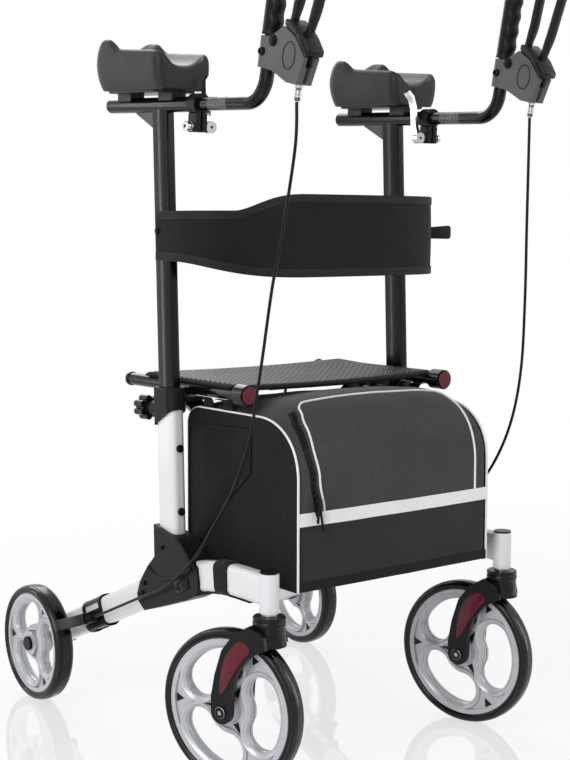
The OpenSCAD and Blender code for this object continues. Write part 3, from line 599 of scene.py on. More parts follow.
def swept(paths: Iterable[Sequence[Vector]], radius: float, closed: bool = False, sides: int = 3) -> BMesh:
    """Round tubes along lines.

    Args:
        paths: One or more lines.
        radius: Radius of the tubes.
        closed: Whether each line is a loop.
        sides: Fineness of the round section.

    Returns:
        The tubes, with closed ends.
    """
    curve = bpy.data.curves.new("sweep", "CURVE")
    curve.dimensions = "3D"
    curve.bevel_depth = radius
    curve.bevel_resolution = sides
    curve.use_fill_caps = True
    for path in paths:
        row = curve.splines.new("POLY")
        row.points.add(len(path) - 1)
        row.use_cyclic_u = closed
        for knot, at in zip(row.points, path):
            knot.co = (*at, 1)
    holder = placed("sweep", curve)
    mesh = bpy.data.meshes.new_from_object(holder.evaluated_get(bpy.context.evaluated_depsgraph_get()))
    bm = bmesh.new()
    bm.from_mesh(mesh)
    bpy.data.objects.remove(holder)
    bpy.data.curves.remove(curve)
    bpy.data.meshes.remove(mesh)
    bmesh.ops.remove_doubles(bm, verts=bm.verts, dist=1e-4)
    bmesh.ops.recalc_face_normals(bm, faces=bm.faces)
    return bm


def ribbon(loops: Sequence[Sequence[Vector]], closed: bool = False) -> BMesh:
    """Skins a row of loops of equal length.

    Args:
        loops: Cross sections in order.
        closed: Whether the last loop joins the first; if not, both end loops are filled.

    Returns:
        The skin.
    """
    bm = bmesh.new()
    rings = []
    for loop in loops:
        verts = [bm.verts.new(p) for p in loop]
        rings.append([bm.edges.new((a, b)) for a, b in zip(verts, verts[1:] + verts[:1])])
    for low, high in zip(rings, rings[1:] + (rings[:1] if closed else [])):
        bmesh.ops.bridge_loops(bm, edges=low + high)
    if not closed:
        bmesh.ops.holes_fill(bm, edges=bm.edges, sides=0)
    bmesh.ops.recalc_face_normals(bm, faces=bm.faces)
    return bm


def dashes(line: Sequence[Vector], pitch: float, share: float = 0.62) -> list[list[Vector]]:
    """Cuts a line into stitches.

    Args:
        line: Points along the seam.
        pitch: Distance from stitch to stitch.
        share: Length of a stitch as a share of the pitch.

    Returns:
        Two end points for each stitch.
    """
    stitches = []
    along = 0.0
    start = 0.0
    for a, b in zip(line, line[1:]):
        run = (b - a).length
        while start + pitch * share <= along + run:
            if start >= along:
                unit = (b - a) / run
                stitches.append([a + unit * (start - along), a + unit * (start - along + pitch * share)])
            start += pitch
        along += run
    return stitches


def joined(*shapes: BMesh) -> BMesh:
    """One shape from several.

    Args:
        shapes: Shapes to join; they are used up.

    Returns:
        The whole.
    """
    whole = bmesh.new()
    for shape in shapes:
        mesh = bpy.data.meshes.new("join")
        shape.to_mesh(mesh)
        whole.from_mesh(mesh)
        bpy.data.meshes.remove(mesh)
        shape.free()
    return whole


@dataclass
class Piece:
    """One finished piece: its name, the body that it rides on, its finish and the nodes that it stands for."""

    name: str
    body: str
    finish: Finish
    replaces: tuple[str, ...] = ()
    mirrored: bool = False
    sharp: float = 35.0

    def emit(self, bm: BMesh, ride: bool = True) -> bpy.types.Object:
        """Makes the object.

        Args:
            bm: Shape in millimetres, drawn on the right side.
            ride: Whether it rides on its body at once.

        Returns:
            The object, in metres.
        """
        if self.mirrored:
            bmesh.ops.transform(bm, matrix=Matrix.Scale(-1, 4, (1, 0, 0)), verts=bm.verts)
            bmesh.ops.reverse_faces(bm, faces=bm.faces)
        bmesh.ops.transform(bm, matrix=Matrix.Scale(0.001, 4), verts=bm.verts)
        for face in bm.faces:
            face.smooth = True
        mesh = bpy.data.meshes.new(self.name)
        bm.to_mesh(mesh)
        bm.free()
        mesh.set_sharp_from_angle(angle=radians(self.sharp))
        mesh.materials.append(self.finish.material())
        made = placed(self.name, mesh)
        if self.replaces:
            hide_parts(*self.replaces)
        if ride:
            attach(made, self.body)
        LOG.info("%s: %d faces", self.name, len(mesh.polygons))
        return made


def node_shape(node: str, flat: float = 0.3) -> BMesh:
    """A merged copy of a solid's mesh, in millimetres.

    Args:
        node: Name of the solid.
        flat: Largest angle that is dissolved into one flat face, in degrees.

    Returns:
        The copy.
    """
    bm = bmesh.new()
    bm.from_mesh(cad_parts[node].data)
    bmesh.ops.transform(bm, matrix=Matrix.Scale(1000, 4), verts=bm.verts)
    bmesh.ops.remove_doubles(bm, verts=bm.verts, dist=1e-3)
    if flat:
        bmesh.ops.dissolve_limit(bm, angle_limit=radians(flat), verts=bm.verts, edges=bm.edges)
    return bm


@dataclass
class Studio:
    """Camera at the photograph's place, pale floor and soft light."""

    eye: Point = (-1.6102, -2.0532, 0.8785)
    look: Point = (0.5934, 0.8011, -0.0774)
    across: Point = (0.8036, -0.5952, 0.0)
    lens: float = 68.89
    sensor: float = 36.0
    shift: Pair = (0.0603, -0.0486)
    floor_reach: float = 9.0
    floor_colour: Colour = (0.9, 0.9, 0.905)
    floor_gloss: float = 0.16
    floor_glow: float = 0.8
    glow_edge: float = 1.6
    sky: float = 0.32
    aim: Point = (0.0, 0.0, 0.6)
    lamps: tuple[tuple[str, Point, Pair, float], ...] = (
        ("key", (-3.4, -1.4, 2.9), (2.4, 2.4), 98),
        ("fill", (2.4, -3.2, 2.6), (2.4, 2.4), 30),
        ("rim", (0.8, 3.2, 3.0), (2.4, 2.4), 70),
        ("left strip", (-2.6, -1.5, 1.0), (0.08, 2.4), 15),
        ("back strip", (-1.9, 2.4, 1.2), (0.14, 2.4), 9),
        ("right strip", (2.9, -1.6, 0.9), (0.12, 2.4), 15),
    )

    def build(self) -> None:
        """Makes everything that is not part of the walker."""
        bpy.context.scene.view_settings.view_transform = "Standard"
        self.make_camera()
        self.make_floor()
        self.make_world()
        for lamp in self.lamps:
            self.make_lamp(*lamp)

    def make_camera(self) -> None:
        """Sets the camera from its fitted directions."""
        view = Vector(self.look).normalized()
        right = Vector(self.across).normalized()
        up = right.cross(view)
        data = bpy.data.cameras.new("view")
        data.lens = self.lens
        data.sensor_width = self.sensor
        data.shift_x, data.shift_y = self.shift
        camera = placed("view", data)
        camera.matrix_world = Matrix.Translation(self.eye) @ Matrix((right, up, -view)).transposed().to_4x4()
        bpy.context.scene.camera = camera

    def make_floor(self) -> None:
        """A pale floor that keeps a soft shadow and a faint reflection."""
        bm = bmesh.new()
        bmesh.ops.create_circle(bm, cap_ends=True, segments=96, radius=self.floor_reach)
        mesh = bpy.data.meshes.new("floor")
        bm.to_mesh(mesh)
        bm.free()
        graph = Graph(bpy.data.materials.new("floor"))
        graph.put(Base_Color=(*self.floor_colour, 1), Roughness=0.5, Specular_IOR_Level=0.1)
        spread = graph.add("ShaderNodeVectorMath", {"operation": "LENGTH"}, {0: graph.coords()}, output=1)
        glow = graph.add("ShaderNodeEmission", {}, {"Color": (1, 1, 1, 1), "Strength": 1.0})
        rise = (1 - self.floor_glow) * spread.above(self.glow_edge, self.glow_edge)
        share = self.seen(graph) * (self.floor_glow + rise)
        lit = graph.add("ShaderNodeMixShader", {}, {0: share, 1: Value(graph, graph.shader.outputs[0]), 2: glow})
        gloss = graph.add("ShaderNodeBsdfGlossy", {}, {"Color": (1, 1, 1, 1), "Roughness": 0.04})
        out = next(n for n in graph.tree.nodes if n.type == "OUTPUT_MATERIAL")
        whole = graph.add("ShaderNodeMixShader", {}, {0: self.floor_gloss, 1: lit, 2: gloss})
        graph.feed(out.inputs["Surface"], whole)
        mesh.materials.append(graph.owner)
        placed("floor", mesh)

    @staticmethod
    def seen(graph: Graph) -> Value:
        """1 for rays from the camera, and through gloss or glass.

        Args:
            graph: Node tree that asks.

        Returns:
            The mask.
        """
        rays = graph.add("ShaderNodeLightPath").socket.node.outputs
        camera, gloss, glass = (Value(graph, rays[f"Is {kind} Ray"]) for kind in ("Camera", "Glossy", "Transmission"))
        return camera.math("MAXIMUM", camera.math("MAXIMUM", camera, gloss), glass)

    def make_world(self) -> None:
        """An even pale sky, white where it is seen."""
        graph = Graph(bpy.data.worlds.new("sky"))
        bpy.context.scene.world = graph.owner
        level = graph.add("ShaderNodeMapRange", {}, {"Value": self.seen(graph), "To Min": self.sky, "To Max": 1.0})
        graph.put(Color=(1, 1, 1, 1), Strength=level)

    def make_lamp(self, name: str, at: Point, size: Pair, power: float) -> None:
        """A soft lamp aimed at the walker's middle.

        Args:
            name: Its name.
            at: Its place.
            size: Width and height.
            power: Watts.
        """
        data = bpy.data.lights.new(name, "AREA")
        data.shape = "RECTANGLE"
        data.size, data.size_y = size
        data.energy = power
        lamp = placed(name, data)
        lamp.location = at
        aim = Vector(self.aim) - Vector(at)
        lamp.rotation_euler = aim.to_track_quat("-Z", "Y").to_euler()


# Places on the right side

FRAME_X = 258.0
LEG_FOOT_Y, LEG_FOOT_Z, LEG_SLOPE = 330.0, 122.0, 23.8
ARM = moved(-FRAME_X, -17, 1086) @ turned("Z", 1.2) @ turned("X", 3)
RISER = ARM @ moved(0, -266, 0) @ turned("X", 8.3)
REAR_AXLE = moved(-316, LEG_FOOT_Y, 107)
FRONT_AXLE = moved(0, 69, 127)
LEVEL_AXIS = turned("Y", 90)
CASTER_Y = -306.0
CASTER_TURN = {Side.RIGHT: 19.0, Side.LEFT: 14.0}


def caster_place(side: Side) -> Matrix:
    """Frame of a caster: its stem along z and its trail towards +y."""
    return moved(side.sign * FRAME_X, CASTER_Y, 0) @ turned("Z", CASTER_TURN[side])


def plug(profile: Outline, way: int, place: Matrix, steps: int) -> BMesh:
    """Turns a profile round the level axis of a place.

    Args:
        profile: Radius and height of each point.
        way: 1 for a plug towards +x and -1 towards -x.
        place: Where it starts.
        steps: Number of stretches round the axis.

    Returns:
        The closed shape.
    """
    return lathe([(r, way * h) for r, h in profile], place @ LEVEL_AXIS, steps)


@dataclass
class Sided:
    """Something that both sides have, drawn on the right one."""

    side: Side

    def piece(
        self, name: str, body: str, finish: Finish, node: str = "", sharp: float = 35.0, mirror: bool = True
    ) -> Piece:
        """A piece of this side.

        Args:
            name: Its name without the side.
            body: The body that it rides on, without the side.
            finish: Its finish.
            node: The node that it stands for, without the side.
            sharp: Smallest angle that stays sharp, in degrees.
            mirror: Whether the left one is drawn as a mirror image.

        Returns:
            The piece.
        """
        nodes = (self.side.name_of(node),) if node else ()
        left = mirror and self.side is Side.LEFT
        return Piece(self.side.name_of(name), self.side.name_of(body), finish, nodes, left, sharp)


@dataclass
class Solids:
    """Solids that keep their shape: tubes get a finish, mouldings also get rounded edges."""

    tubes: dict[str, Finish] = field(default_factory=lambda: {
        "leg_tube": WHITE, "upright_tube": WHITE, "mast_tube": TUBE, "arm_tube": TUBE, "handle_tube": RIBBED_TUBE,
    })
    mouldings: dict[str, tuple[Finish, float, str]] = field(default_factory=lambda: {
        "hinge_block": (CHARCOAL, 1.6, "frame"),
        "upper_collar": (CHARCOAL, 1.8, "frame"),
        "height_knob": (BLACK, 1.6, "height_knob"),
        "pad_plate": (BLACK, 1.2, "mast"),
        "reach_clamp": (CLAMP, 0.8, "mast"),
        "clamp_lever": (CHROME, 1.0, "clamp_lever"),
        "lever_housing": (GREY, 2.0, "handle"),
        "caster_fork": (BLACK, 4.2, "caster"),
        "fork_hardware": (STEEL, 0.8, "caster"),
        "wheel_brake": (BLACK, 1.0, "frame"),
        "brake_shoe": (BLACK, 1.4, "brake_shoe"),
        "cross_brace": (TUBE, 1.4, "brace"),
        "frame_fasteners": (DARK_STEEL, 0.8, "frame"),
        "front_rim": (SILVER, 1.4, "front_wheel"),
        "rear_rim": (SILVER, 1.4, "rear_wheel"),
        "seat_reflector": (LENS, 0.9, "brace"),
    })

    def build(self) -> None:
        """Dresses every one of these solids."""
        for side in Side:
            for part, finish in self.tubes.items():
                self.paint(side.name_of(part), finish)
            for part, (finish, radius, body) in self.mouldings.items():
                self.mould(side.name_of(part), side.name_of(body), finish, radius)
        self.mould("cross_pivot", "left_brace", STEEL, 0.6)

    @staticmethod
    def paint(node: str, finish: Finish) -> None:
        """Gives a solid that stays its finish.

        Args:
            node: Name of the solid.
            finish: Its finish.
        """
        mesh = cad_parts[node].data
        mesh.materials.clear()
        mesh.materials.append(finish.material())

    @staticmethod
    def mould(node: str, body: str, finish: Finish, radius: float) -> None:
        """Replaces a solid by a copy with rounded edges.

        Args:
            node: Name of the solid.
            body: Body that the copy rides on.
            finish: Its finish.
            radius: Radius of its edges.
        """
        bm = node_shape(node)
        soften(bm, radius, segments=3)
        made = Piece(f"{node}_moulding", body, finish, (node,), sharp=50).emit(bm)
        weighted = made.modifiers.new("even", "WEIGHTED_NORMAL")
        weighted.keep_sharp = True


@dataclass
class Wheel(Sided):
    """Tyre, the rim's raised lips, and black wedges that are painted shade in the rim's recesses."""

    kind: str
    place: Matrix
    across: float
    width: float
    tyre_height: float = 15.0
    rim_band: float = 12.0
    opening_gap: float = 4.0
    hub_share: float = 0.40
    opening_spread: float = 28.0
    lip: Outline = (
        (-1.4, 2.0), (-1.0, 6.2), (0.8, 8.8), (3.4, 11.0), (5.6, 12.9), (7.0, 13.5), (8.4, 13.2), (9.4, 11.6),
        (9.7, 8.0), (9.4, 2.0),
    )
    # Place and height of the black wedges that paint the shade in the rim's recesses
    recess_shade_level: float = 8.4
    recess_shade_height: float = 1.5

    @property
    def rim_r(self) -> float:
        """Radius of the rim under the tyre."""
        return self.across / 2 - self.tyre_height

    def emit(self, part: str, finish: Finish, bm: BMesh, node: str = "") -> None:
        """Makes a piece of this wheel; the rear wheels are mirror images."""
        name, body = f"{self.kind}_{part}", f"{self.kind}_wheel"
        self.piece(name, body, finish, node, mirror=self.kind == "rear").emit(bm)

    def build(self) -> None:
        """Makes the wheel's pieces."""
        self.make_tyre()
        self.make_lips()
        self.make_recess_shade()

    def make_tyre(self) -> None:
        """A rounded tyre with two fine tread lines and a bead on each wall."""
        r, half, inner = self.across / 2, self.width / 2, self.rim_r
        wall = [
            (inner, half - 5.0), (inner + 0.6, half - 2.6), (inner + 2.4, half - 1.0), (inner + 4.2, half - 0.5),
            (inner + 4.8, half - 1.1), (inner + 5.6, half - 0.3), (r - 6.5, half - 0.15), (r - 4.2, half - 1.4),
            (r - 2.4, half - 3.6), (r - 1.2, half - 6.4), (r - 0.7, half - 8.2), (r - 1.5, half - 8.9),
            (r - 0.45, half - 9.6), (r, half - 13.0),
        ]
        profile = wall + [(a, -h) for a, h in reversed(wall)]
        bm = lathe(profile + profile[:1], self.place @ LEVEL_AXIS, 120)
        self.emit("tyre_tread", RUBBER, bm, f"{self.kind}_tyre")

    def bean(self, turn: float, grow: float, level: float) -> list[Vector]:
        """Outline of one opening.

        Args:
            turn: Turn of the opening about the axle, in degrees.
            grow: Margin.
            level: Place along the axle.

        Returns:
            Points of the outline.
        """
        out_r = self.rim_r - self.rim_band - self.opening_gap + grow
        in_r = (self.rim_r - self.rim_band) * self.hub_share - grow
        half = (out_r - in_r) / 2
        mid = (out_r + in_r) / 2
        spread = self.opening_spread
        flat = [polar(out_r, a) for a in even(-spread, spread, 14)]
        flat += [polar(mid, spread) + polar(half, spread + a) for a in even(0, 180, 12)[1:-1]]
        flat += [polar(in_r, a) for a in even(spread, -spread, 8)]
        flat += [polar(mid, -spread) - polar(half, a - spread) for a in even(0, 180, 12)[1:-1]]
        spun = turned("X", 180 + turn)
        return [self.place @ spun @ Vector((level, p.x, p.y)) for p in flat]

    def make_lips(self) -> None:
        """A broad rounded lip round each opening, on both faces."""
        shapes = []
        for turn in (0, 120, 240):
            for face in (-1, 1):
                loops = [self.bean(turn, grow, face * level) for grow, level in self.lip]
                shapes.append(ribbon(loops, closed=True))
        self.emit("rim_lips", SILVER, joined(*shapes))

    def make_recess_shade(self) -> None:
        """Black wedges between the lips, near the hub and near the rim: painted shade in the rim's recesses."""
        shapes = []
        for turn in (60, 180, 300):
            for face in (-1, 1):
                spun = self.place @ turned("X", 180 + turn)
                push = spun.to_3x3() @ Vector((face * self.recess_shade_height, 0, 0))
                for base, tip, width in ((25, 47, 11), (self.rim_r - 9, self.rim_r - 24, 15)):
                    waist = (base + 2 * tip) / 3
                    corners = [
                        (base, -width / 2), (base, width / 2), (waist, width / 6), (tip, 0), (waist, -width / 6)
                    ]
                    flat = [spun @ Vector((face * self.recess_shade_level, a, b)) for a, b in corners]
                    shapes.append(prism(flat, push, 0.5))
        # Painted shade: black wedges in the rim's recesses
        self.emit("rim_recess_shade", BLACK, joined(*shapes))


# Cable routes down to the legs, as the solids have them
ROUTES = {
    Side.RIGHT: [
        (-251, -361, 1067.5), (-253, -360, 1000), (-260, -340, 880), (-264, -319, 790), (-269, -302, 685),
        (-272, -290, 620), (-275, -277, 555), (-279, -240, 474), (-283, -195, 411), (-287, -140, 344),
    ],
    Side.LEFT: [
        (-251, -361, 1067.5), (-254, -357, 980), (-259, -351, 880), (-265, -344, 760), (-271, -332, 640),
        (-276, -306, 545), (-280, -262, 465), (-284, -200, 395), (-287, -137, 336),
    ],
}


@dataclass
class BrakeCable(Sided):
    """A sleeved cable from the lever to the rear brake, in two lengths that meet beside the mast."""

    width: float = 5.0
    along_leg: tuple[float, ...] = (420, 340, 270, 192, 156)
    beside_leg: float = 29.0
    below_leg: float = 8.0
    steps: int = 8
    upper_points: int = 3
    bent_points: int = 5

    def route(self) -> list[Point]:
        """The whole route's points.

        Returns:
            Points from the lever to the brake.
        """
        slope = radians(LEG_SLOPE)
        tail = [
            (-FRAME_X - self.beside_leg,
             LEG_FOOT_Y - q * cos(slope) - self.below_leg * sin(slope),
             LEG_FOOT_Z + q * sin(slope) - self.below_leg * cos(slope))
            for q in self.along_leg
        ]
        return ROUTES[self.side] + tail

    def build(self) -> None:
        """Makes both lengths."""
        line = spline(self.route(), self.steps)
        cut = self.upper_points * self.steps
        spans = (("upper", line[:cut + 1], "handle", "mast"), ("lower", line[cut:], "mast", "frame"))
        for part, stretch, first, second in spans:
            piece = self.piece(f"brake_cable_{part}", second, SLEEVE, "brake_cable")
            made = piece.emit(swept([stretch], self.width / 2, sides=4), ride=False)
            path = [(-self.side.sign * p.x / 1000, p.y / 1000, p.z / 1000) for p in stretch]
            ends = (path[2], path[-2]) if part == "upper" else (path[1], path[self.bent_points * self.steps])
            self.side.name_of(first)
            self.side.name_of(second)
            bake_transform(made)


@dataclass
class ArmPad(Sided):
    """Moulded foam pad: a trough for the forearm with humps at the back."""

    flat_angle: float = 60.0
    fold: float = 52.0
    crease: float = 0.62
    fill: float = 0.8

    def build(self) -> None:
        """Smooths the pad's solid into a moulded skin with firm end edges."""
        bm = node_shape(self.side.name_of("arm_pad"), flat=0)
        flat = radians(self.flat_angle)
        bmesh.ops.join_triangles(bm, faces=bm.faces, angle_face_threshold=flat, angle_shape_threshold=flat)
        firm = bm.edges.layers.float.new("crease_edge")
        for edge in bm.edges:
            if edge.calc_face_angle(0) > radians(self.fold):
                edge[firm] = self.crease
        made = self.piece("arm_pad_skin", "mast", PAD, "arm_pad", sharp=180, mirror=False).emit(bm)
        fine = made.modifiers.new("fine", "SUBSURF")
        fine.levels = fine.render_levels = 2


@dataclass
class Sling:
    """Seat mesh stretched between the seat tubes, wrapped over each tube, with two hems and a hook.

    Each hem has its name, its place from front to back, its drop below the sheet and its radius.
    """

    tube_x: float = 217.0
    tube_z: float = 613.0
    wrap_r: float = 12.6
    wrap_from: float = 140.0
    wrap_turn: float = 50.0
    wrap_steps: int = 5
    front: float = -164.0
    back: float = 92.0
    sag: float = 4.0
    lift: float = 3.0
    lift_run: float = 90.0
    wall: float = 0.0022
    rows: int = 26
    pitch: float = 7.0
    wave: float = 0.9
    yarn_half: float = 0.43
    yarn_level: float = 1.6
    yarn_section: tuple[tuple[int, float], ...] = ((-1, -0.5), (0, 0.6), (1, -0.5))
    hook: Outline = ((-116, 618), (-119, 608), (-124, 600), (-131, 597), (-136, 602))
    hook_bar: Outline = ((-150, 617.5), (-120, 617.5), (-92, 617.5))
    hook_ahead: float = 3.0
    hems: tuple[tuple[str, float, float, float], ...] = (
        ("front_hem", -166.0, 3.2, 4.6), ("back_hem", 91.0, 1.4, 2.6),
    )
    bend_margin: float = 0.012

    def across(self, depth: float) -> list[Vector]:
        """The sheet's line from tube to tube.

        Args:
            depth: Place from front to back.

        Returns:
            Points of the line.
        """
        near = [radians(a) for a in even(self.wrap_from, self.wrap_from - self.wrap_turn, self.wrap_steps)]
        turn = [(-self.tube_x + self.wrap_r * cos(a), self.wrap_r * (sin(a) - 1)) for a in near]
        flat = [(x, 0.0) for x in even(-self.tube_x, self.tube_x, 24)[1:-1]]
        line = turn + flat + [(-x, drop) for x, drop in reversed(turn)]
        return [Vector((x, depth, self.height(x, depth) + drop)) for x, drop in line]

    def height(self, x: float, depth: float) -> float:
        """Height of the sheet between the tubes."""
        raised = self.lift * lerp([(self.back - self.lift_run, 0), (self.back, 1)], depth)
        return self.tube_z + self.wrap_r - self.sag * max(0, 1 - (x / self.tube_x) ** 2) + raised

    def yarn(self, bm: BMesh, places: Outline, first: int, beside: Vector) -> None:
        """Adds one flat yarn with three sides.

        Args:
            bm: Shape that takes the yarn.
            places: Places along the yarn, two for each crossing.
            first: Even where the yarn starts above the crossing ones.
            beside: Half its width, as a vector.
        """
        knots = []
        for k, (x, y) in enumerate(places):
            up = self.wave * (-1) ** (first + k // 2)
            knots.append(Vector((x, y, self.height(x, y) + self.yarn_level + up)))
        rows = [[bm.verts.new(p + beside * share + Vector((0, 0, lift))) for p in knots]
                for share, lift in self.yarn_section]
        for a, b in zip(rows, rows[1:] + rows[:1]):
            for k in range(len(knots) - 1):
                bm.faces.new((a[k], a[k + 1], b[k + 1], b[k]))

    def make_yarns(self) -> None:
        """Weaves yarns from side to side and from front to back over the sheet."""
        bm = bmesh.new()
        wide = int((self.tube_x - 4) / self.pitch)
        deep = int((self.back - self.front) / self.pitch)
        half = self.yarn_half * self.pitch
        xs = [self.pitch * (i + side) for i in range(-wide, wide + 1) for side in (-0.25, 0.25)]
        ys = [self.front + self.pitch * (j + 0.5 + side) for j in range(deep) for side in (-0.25, 0.25)]
        for i in range(-wide, wide + 1):
            self.yarn(bm, [(self.pitch * i, y) for y in ys], i, Vector((half, 0, 0)))
        for j in range(deep):
            y = self.front + self.pitch * (j + 0.5)
            self.yarn(bm, [(x, y) for x in xs], j - wide + 1, Vector((0, half, 0)))
        bmesh.ops.recalc_face_normals(bm, faces=bm.faces)
        self.hang("sling_yarns", YARN, bm, 80)

    def make_hook(self) -> None:
        """A small hook below the front hem."""
        y = self.front - self.hook_ahead
        line = spline([(x, y, z) for x, z in self.hook], 5)
        bar = [Vector((x, y, z)) for x, z in self.hook_bar]
        self.hang("hook", BLACK, swept([line, bar], 2.6))

    def make_sheet(self) -> None:
        """The sheet under the yarns, with its thickness; its near-black colour, seen through the gaps of the weave,
        is painted shade.
        """
        bm = bmesh.new()
        grid = [[bm.verts.new(p) for p in self.across(y)] for y in even(self.front, self.back, self.rows)]
        edges = [[bm.edges.new(pair) for pair in zip(row, row[1:])] for row in grid]
        for low, high in zip(edges, edges[1:]):
            bmesh.ops.bridge_loops(bm, edges=low + high)
        bmesh.ops.recalc_face_normals(bm, faces=bm.faces)
        sheet = Piece("seat_sling_mesh", "", MESH, ("seat_sling",), sharp=80).emit(bm, ride=False)
        wall = sheet.modifiers.new("wall", "SOLIDIFY")
        wall.thickness = self.wall
        wall.offset = 0.0
        line = self.across(0)
        self.bend(sheet)

    def build(self) -> None:
        """Makes the sheet, its hems, its yarns and the hook."""
        self.make_sheet()
        for name, depth, drop, radius in self.hems:
            hem = [p - Vector((0, 0, drop)) for p in self.across(depth)]
            self.hang(name, WEBBING, swept([hem[self.wrap_steps:-self.wrap_steps]], radius))
        self.make_yarns()
        self.make_hook()

    def hang(self, part: str, finish: Finish, bm: BMesh, sharp: float = 60.0) -> None:
        """Makes a piece of the seat."""
        self.bend(Piece(f"seat_{part}", "", finish, sharp=sharp).emit(bm, ride=False))

    def bend(self, piece: bpy.types.Object) -> None:
        """Bakes a seat piece's place into its mesh.

        Args:
            piece: Object of the seat.
        """
        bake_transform(piece)


@dataclass
class FoldingCloth:
    """Cloth made of pieces that ride on one body of the frame."""

    stem: str
    body: str
    anchor: Point
    keep: float

    def sew(
        self, part: str, finish: Finish, bm: BMesh, sharp: float = 60.0, replaces: tuple[str, ...] = ()
    ) -> bpy.types.Object:
        """Makes one piece of the cloth.

        Args:
            part: Its name after the stem.
            finish: Its finish.
            bm: Its shape in millimetres.
            sharp: Smallest angle that stays sharp, in degrees.
            replaces: Nodes that it stands for.

        Returns:
            The object.
        """
        made = Piece(f"{self.stem}_{part}", self.body, finish, replaces, sharp=sharp).emit(bm)
        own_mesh(made)
        return made


@dataclass
class Bag(FoldingCloth):
    """Zipped carry bag under the seat: a soft lofted shell with piping, a lid, tape and a side pocket.

    A run is a distance along the side outline, from the front's lower edge up and over to the back's lower edge.
    Each of the folds has its size across and along, its place in the noise and its height. Each of the panel steps
    is an inset and a push outwards.
    """

    stem: str = "carry_bag"
    body: str = "right_frame"
    anchor: Point = (-0.228, 0.0, 0.45)
    keep: float = 0.377
    half: float = 208.0
    front: float = -315.0
    back: float = -14.0
    base: float = 313.0
    top: float = 589.0
    front_r: float = 100.0
    back_r: float = 40.0
    droop: float = 8.0
    crest: float = 16.0
    rim_share: float = 0.94
    rim_stations: tuple[float, ...] = (0.975, 0.992, 1.0)
    rim_pull: float = 6.0
    base_sag: float = 2.0
    flank: Outline = ((0.27, 0), (0.42, 1), (0.62, 1), (0.7, 0))
    hang: Outline = ((0, 1), (0.14, 4), (0.24, 3), (0.7, 3), (1, 0))
    peak_runs: Outline = ((190, 0), (300, 1), (330, 1), (500, 0.1))
    peak_xs: Outline = ((150, 1), (205, 0))
    folds: tuple[tuple[float, ...], ...] = ((70, 90, 3.1, 1.6), (28, 34, 7.7, 0.5))
    panel_steps: Outline = ((5, 0.6), (14, 0.8), (30, 0.6), (40, 0.4))
    pocket: Outline = (
        (-22, 546), (-100, 553), (-188, 557), (-196, 551), (-194, 488), (-112, 414), (-40, 342), (-30, 338),
        (-22, 350),
    )
    pocket_from: float = -0.8
    pocket_wall: float = 4.2
    binding_out: float = 3.1
    lid_x: Pair = (-158.0, 177.0)
    lid_runs: Pair = (125.0, 306.0)
    lid_corners: Pair = (16.0, 40.0)
    lid_lean: Outline = ((125, 0), (176, 9), (225, 15), (265, 13), (292, 5), (306, 0))
    zip_gap: float = 13.0
    zip_runs: Pair = (110.0, 296.0)
    zip_tape: Outline = ((-6, -1), (-5.4, 0.9), (0, 1.2), (5.4, 0.9), (6, -1))
    slider: Outline = ((-4.5, -7), (4.5, -7), (5.5, 0), (3, 8), (-3, 8), (-5.5, 0))
    sliders: Outline = ((130, 5.0), (142, -4.0))
    strap: Outline = ((205, 560), (206.5, 582), (207.5, 594), (211, 599.5), (217, 601.3), (226, 601.4))
    strap_ys: Pair = (-130.0, -75.0)
    strap_half: float = 12.5
    strap_wall: Pair = (2.2, -0.6)

    @property
    def stretches(self) -> Outline:
        """Length and radius of each stretch of the side outline; the radius is 0 where it is straight."""
        return (
            (self.top - self.front_r - self.base, 0.0), (pi / 2 * self.front_r, self.front_r),
            (self.back - self.back_r - self.front - self.front_r, 0.0), (pi / 2 * self.back_r, self.back_r),
            (self.top - self.back_r - self.base, 0.0),
        )

    @property
    def length(self) -> float:
        """Length of the side outline without the base."""
        return sum(length for length, _ in self.stretches)

    def profile(self, run: float, out: float) -> Vector:
        """A point on the side outline.

        Args:
            run: Distance along the outline.
            out: Distance outside the outline.

        Returns:
            Place from front to back and height.
        """
        y, z, lean = self.front, self.base, 0.0
        for length, radius in self.stretches:
            part = min(run, length)
            run -= part
            if radius:
                last, lean = lean, lean + part / radius
                y += radius * (cos(last) - cos(lean))
                z += radius * (sin(lean) - sin(last))
            else:
                y += part * sin(lean)
                z += part * cos(lean)
        return Vector((y - out * cos(lean), z + out * sin(lean)))

    def swell(self, x: float, run: float) -> float:
        """How far the soft cloth stands out or hangs in.

        Args:
            x: Place across.
            run: Distance along the side outline.

        Returns:
            Distance outside the plain outline.
        """
        across = 1 - (x / self.half) ** 2
        share = run / self.length
        flank, hang = lerp(self.flank, share), lerp(self.hang, share)
        peak = lerp(self.peak_runs, run) * lerp(self.peak_xs, abs(x))
        folds = sum(noise.noise(Vector((x / w, run / l, at))) * high for w, l, at, high in self.folds)
        soft = hang * across + folds * min(1, across * 3) - self.droop * flank * (1 - across)
        return soft + peak * (self.crest + 5 * across)

    def surface(self, x: float, run: float, out: float) -> Vector:
        """A point on the bag's cloth."""
        flat = self.profile(run, out + self.swell(x, run))
        return Vector((x, flat.x, flat.y))

    def build(self) -> None:
        """Makes the shell and everything sewn to it."""
        self.make_shell()
        for side in Side:
            self.make_side(side)
        self.make_lid()
        self.make_tape()
        self.make_zip()
        self.make_straps()

    def make_shell(self) -> None:
        """The front, top and back in one piece, with the base below."""
        runs = even(0, self.length, 90)
        near = [self.rim_share, *self.rim_stations]
        stations = [-s for s in reversed(near)] + even(-0.9, 0.9, 26) + near
        loops = []
        for s in stations:
            x = s * self.half
            pull = self.rim_pull * max(0, (abs(s) - self.rim_share) / (1 - self.rim_share)) ** 2
            floor = self.base - self.base_sag * (1 - s * s) + 0.3 * pull
            loop = [self.surface(x, run, -pull) for run in runs]
            loops.append(loop + [Vector((x, y, floor)) for y in even(self.back, self.front, 12)[1:-1]])
        self.sew("shell", BAG_GREY, ribbon(loops), replaces=("carry_bag",))

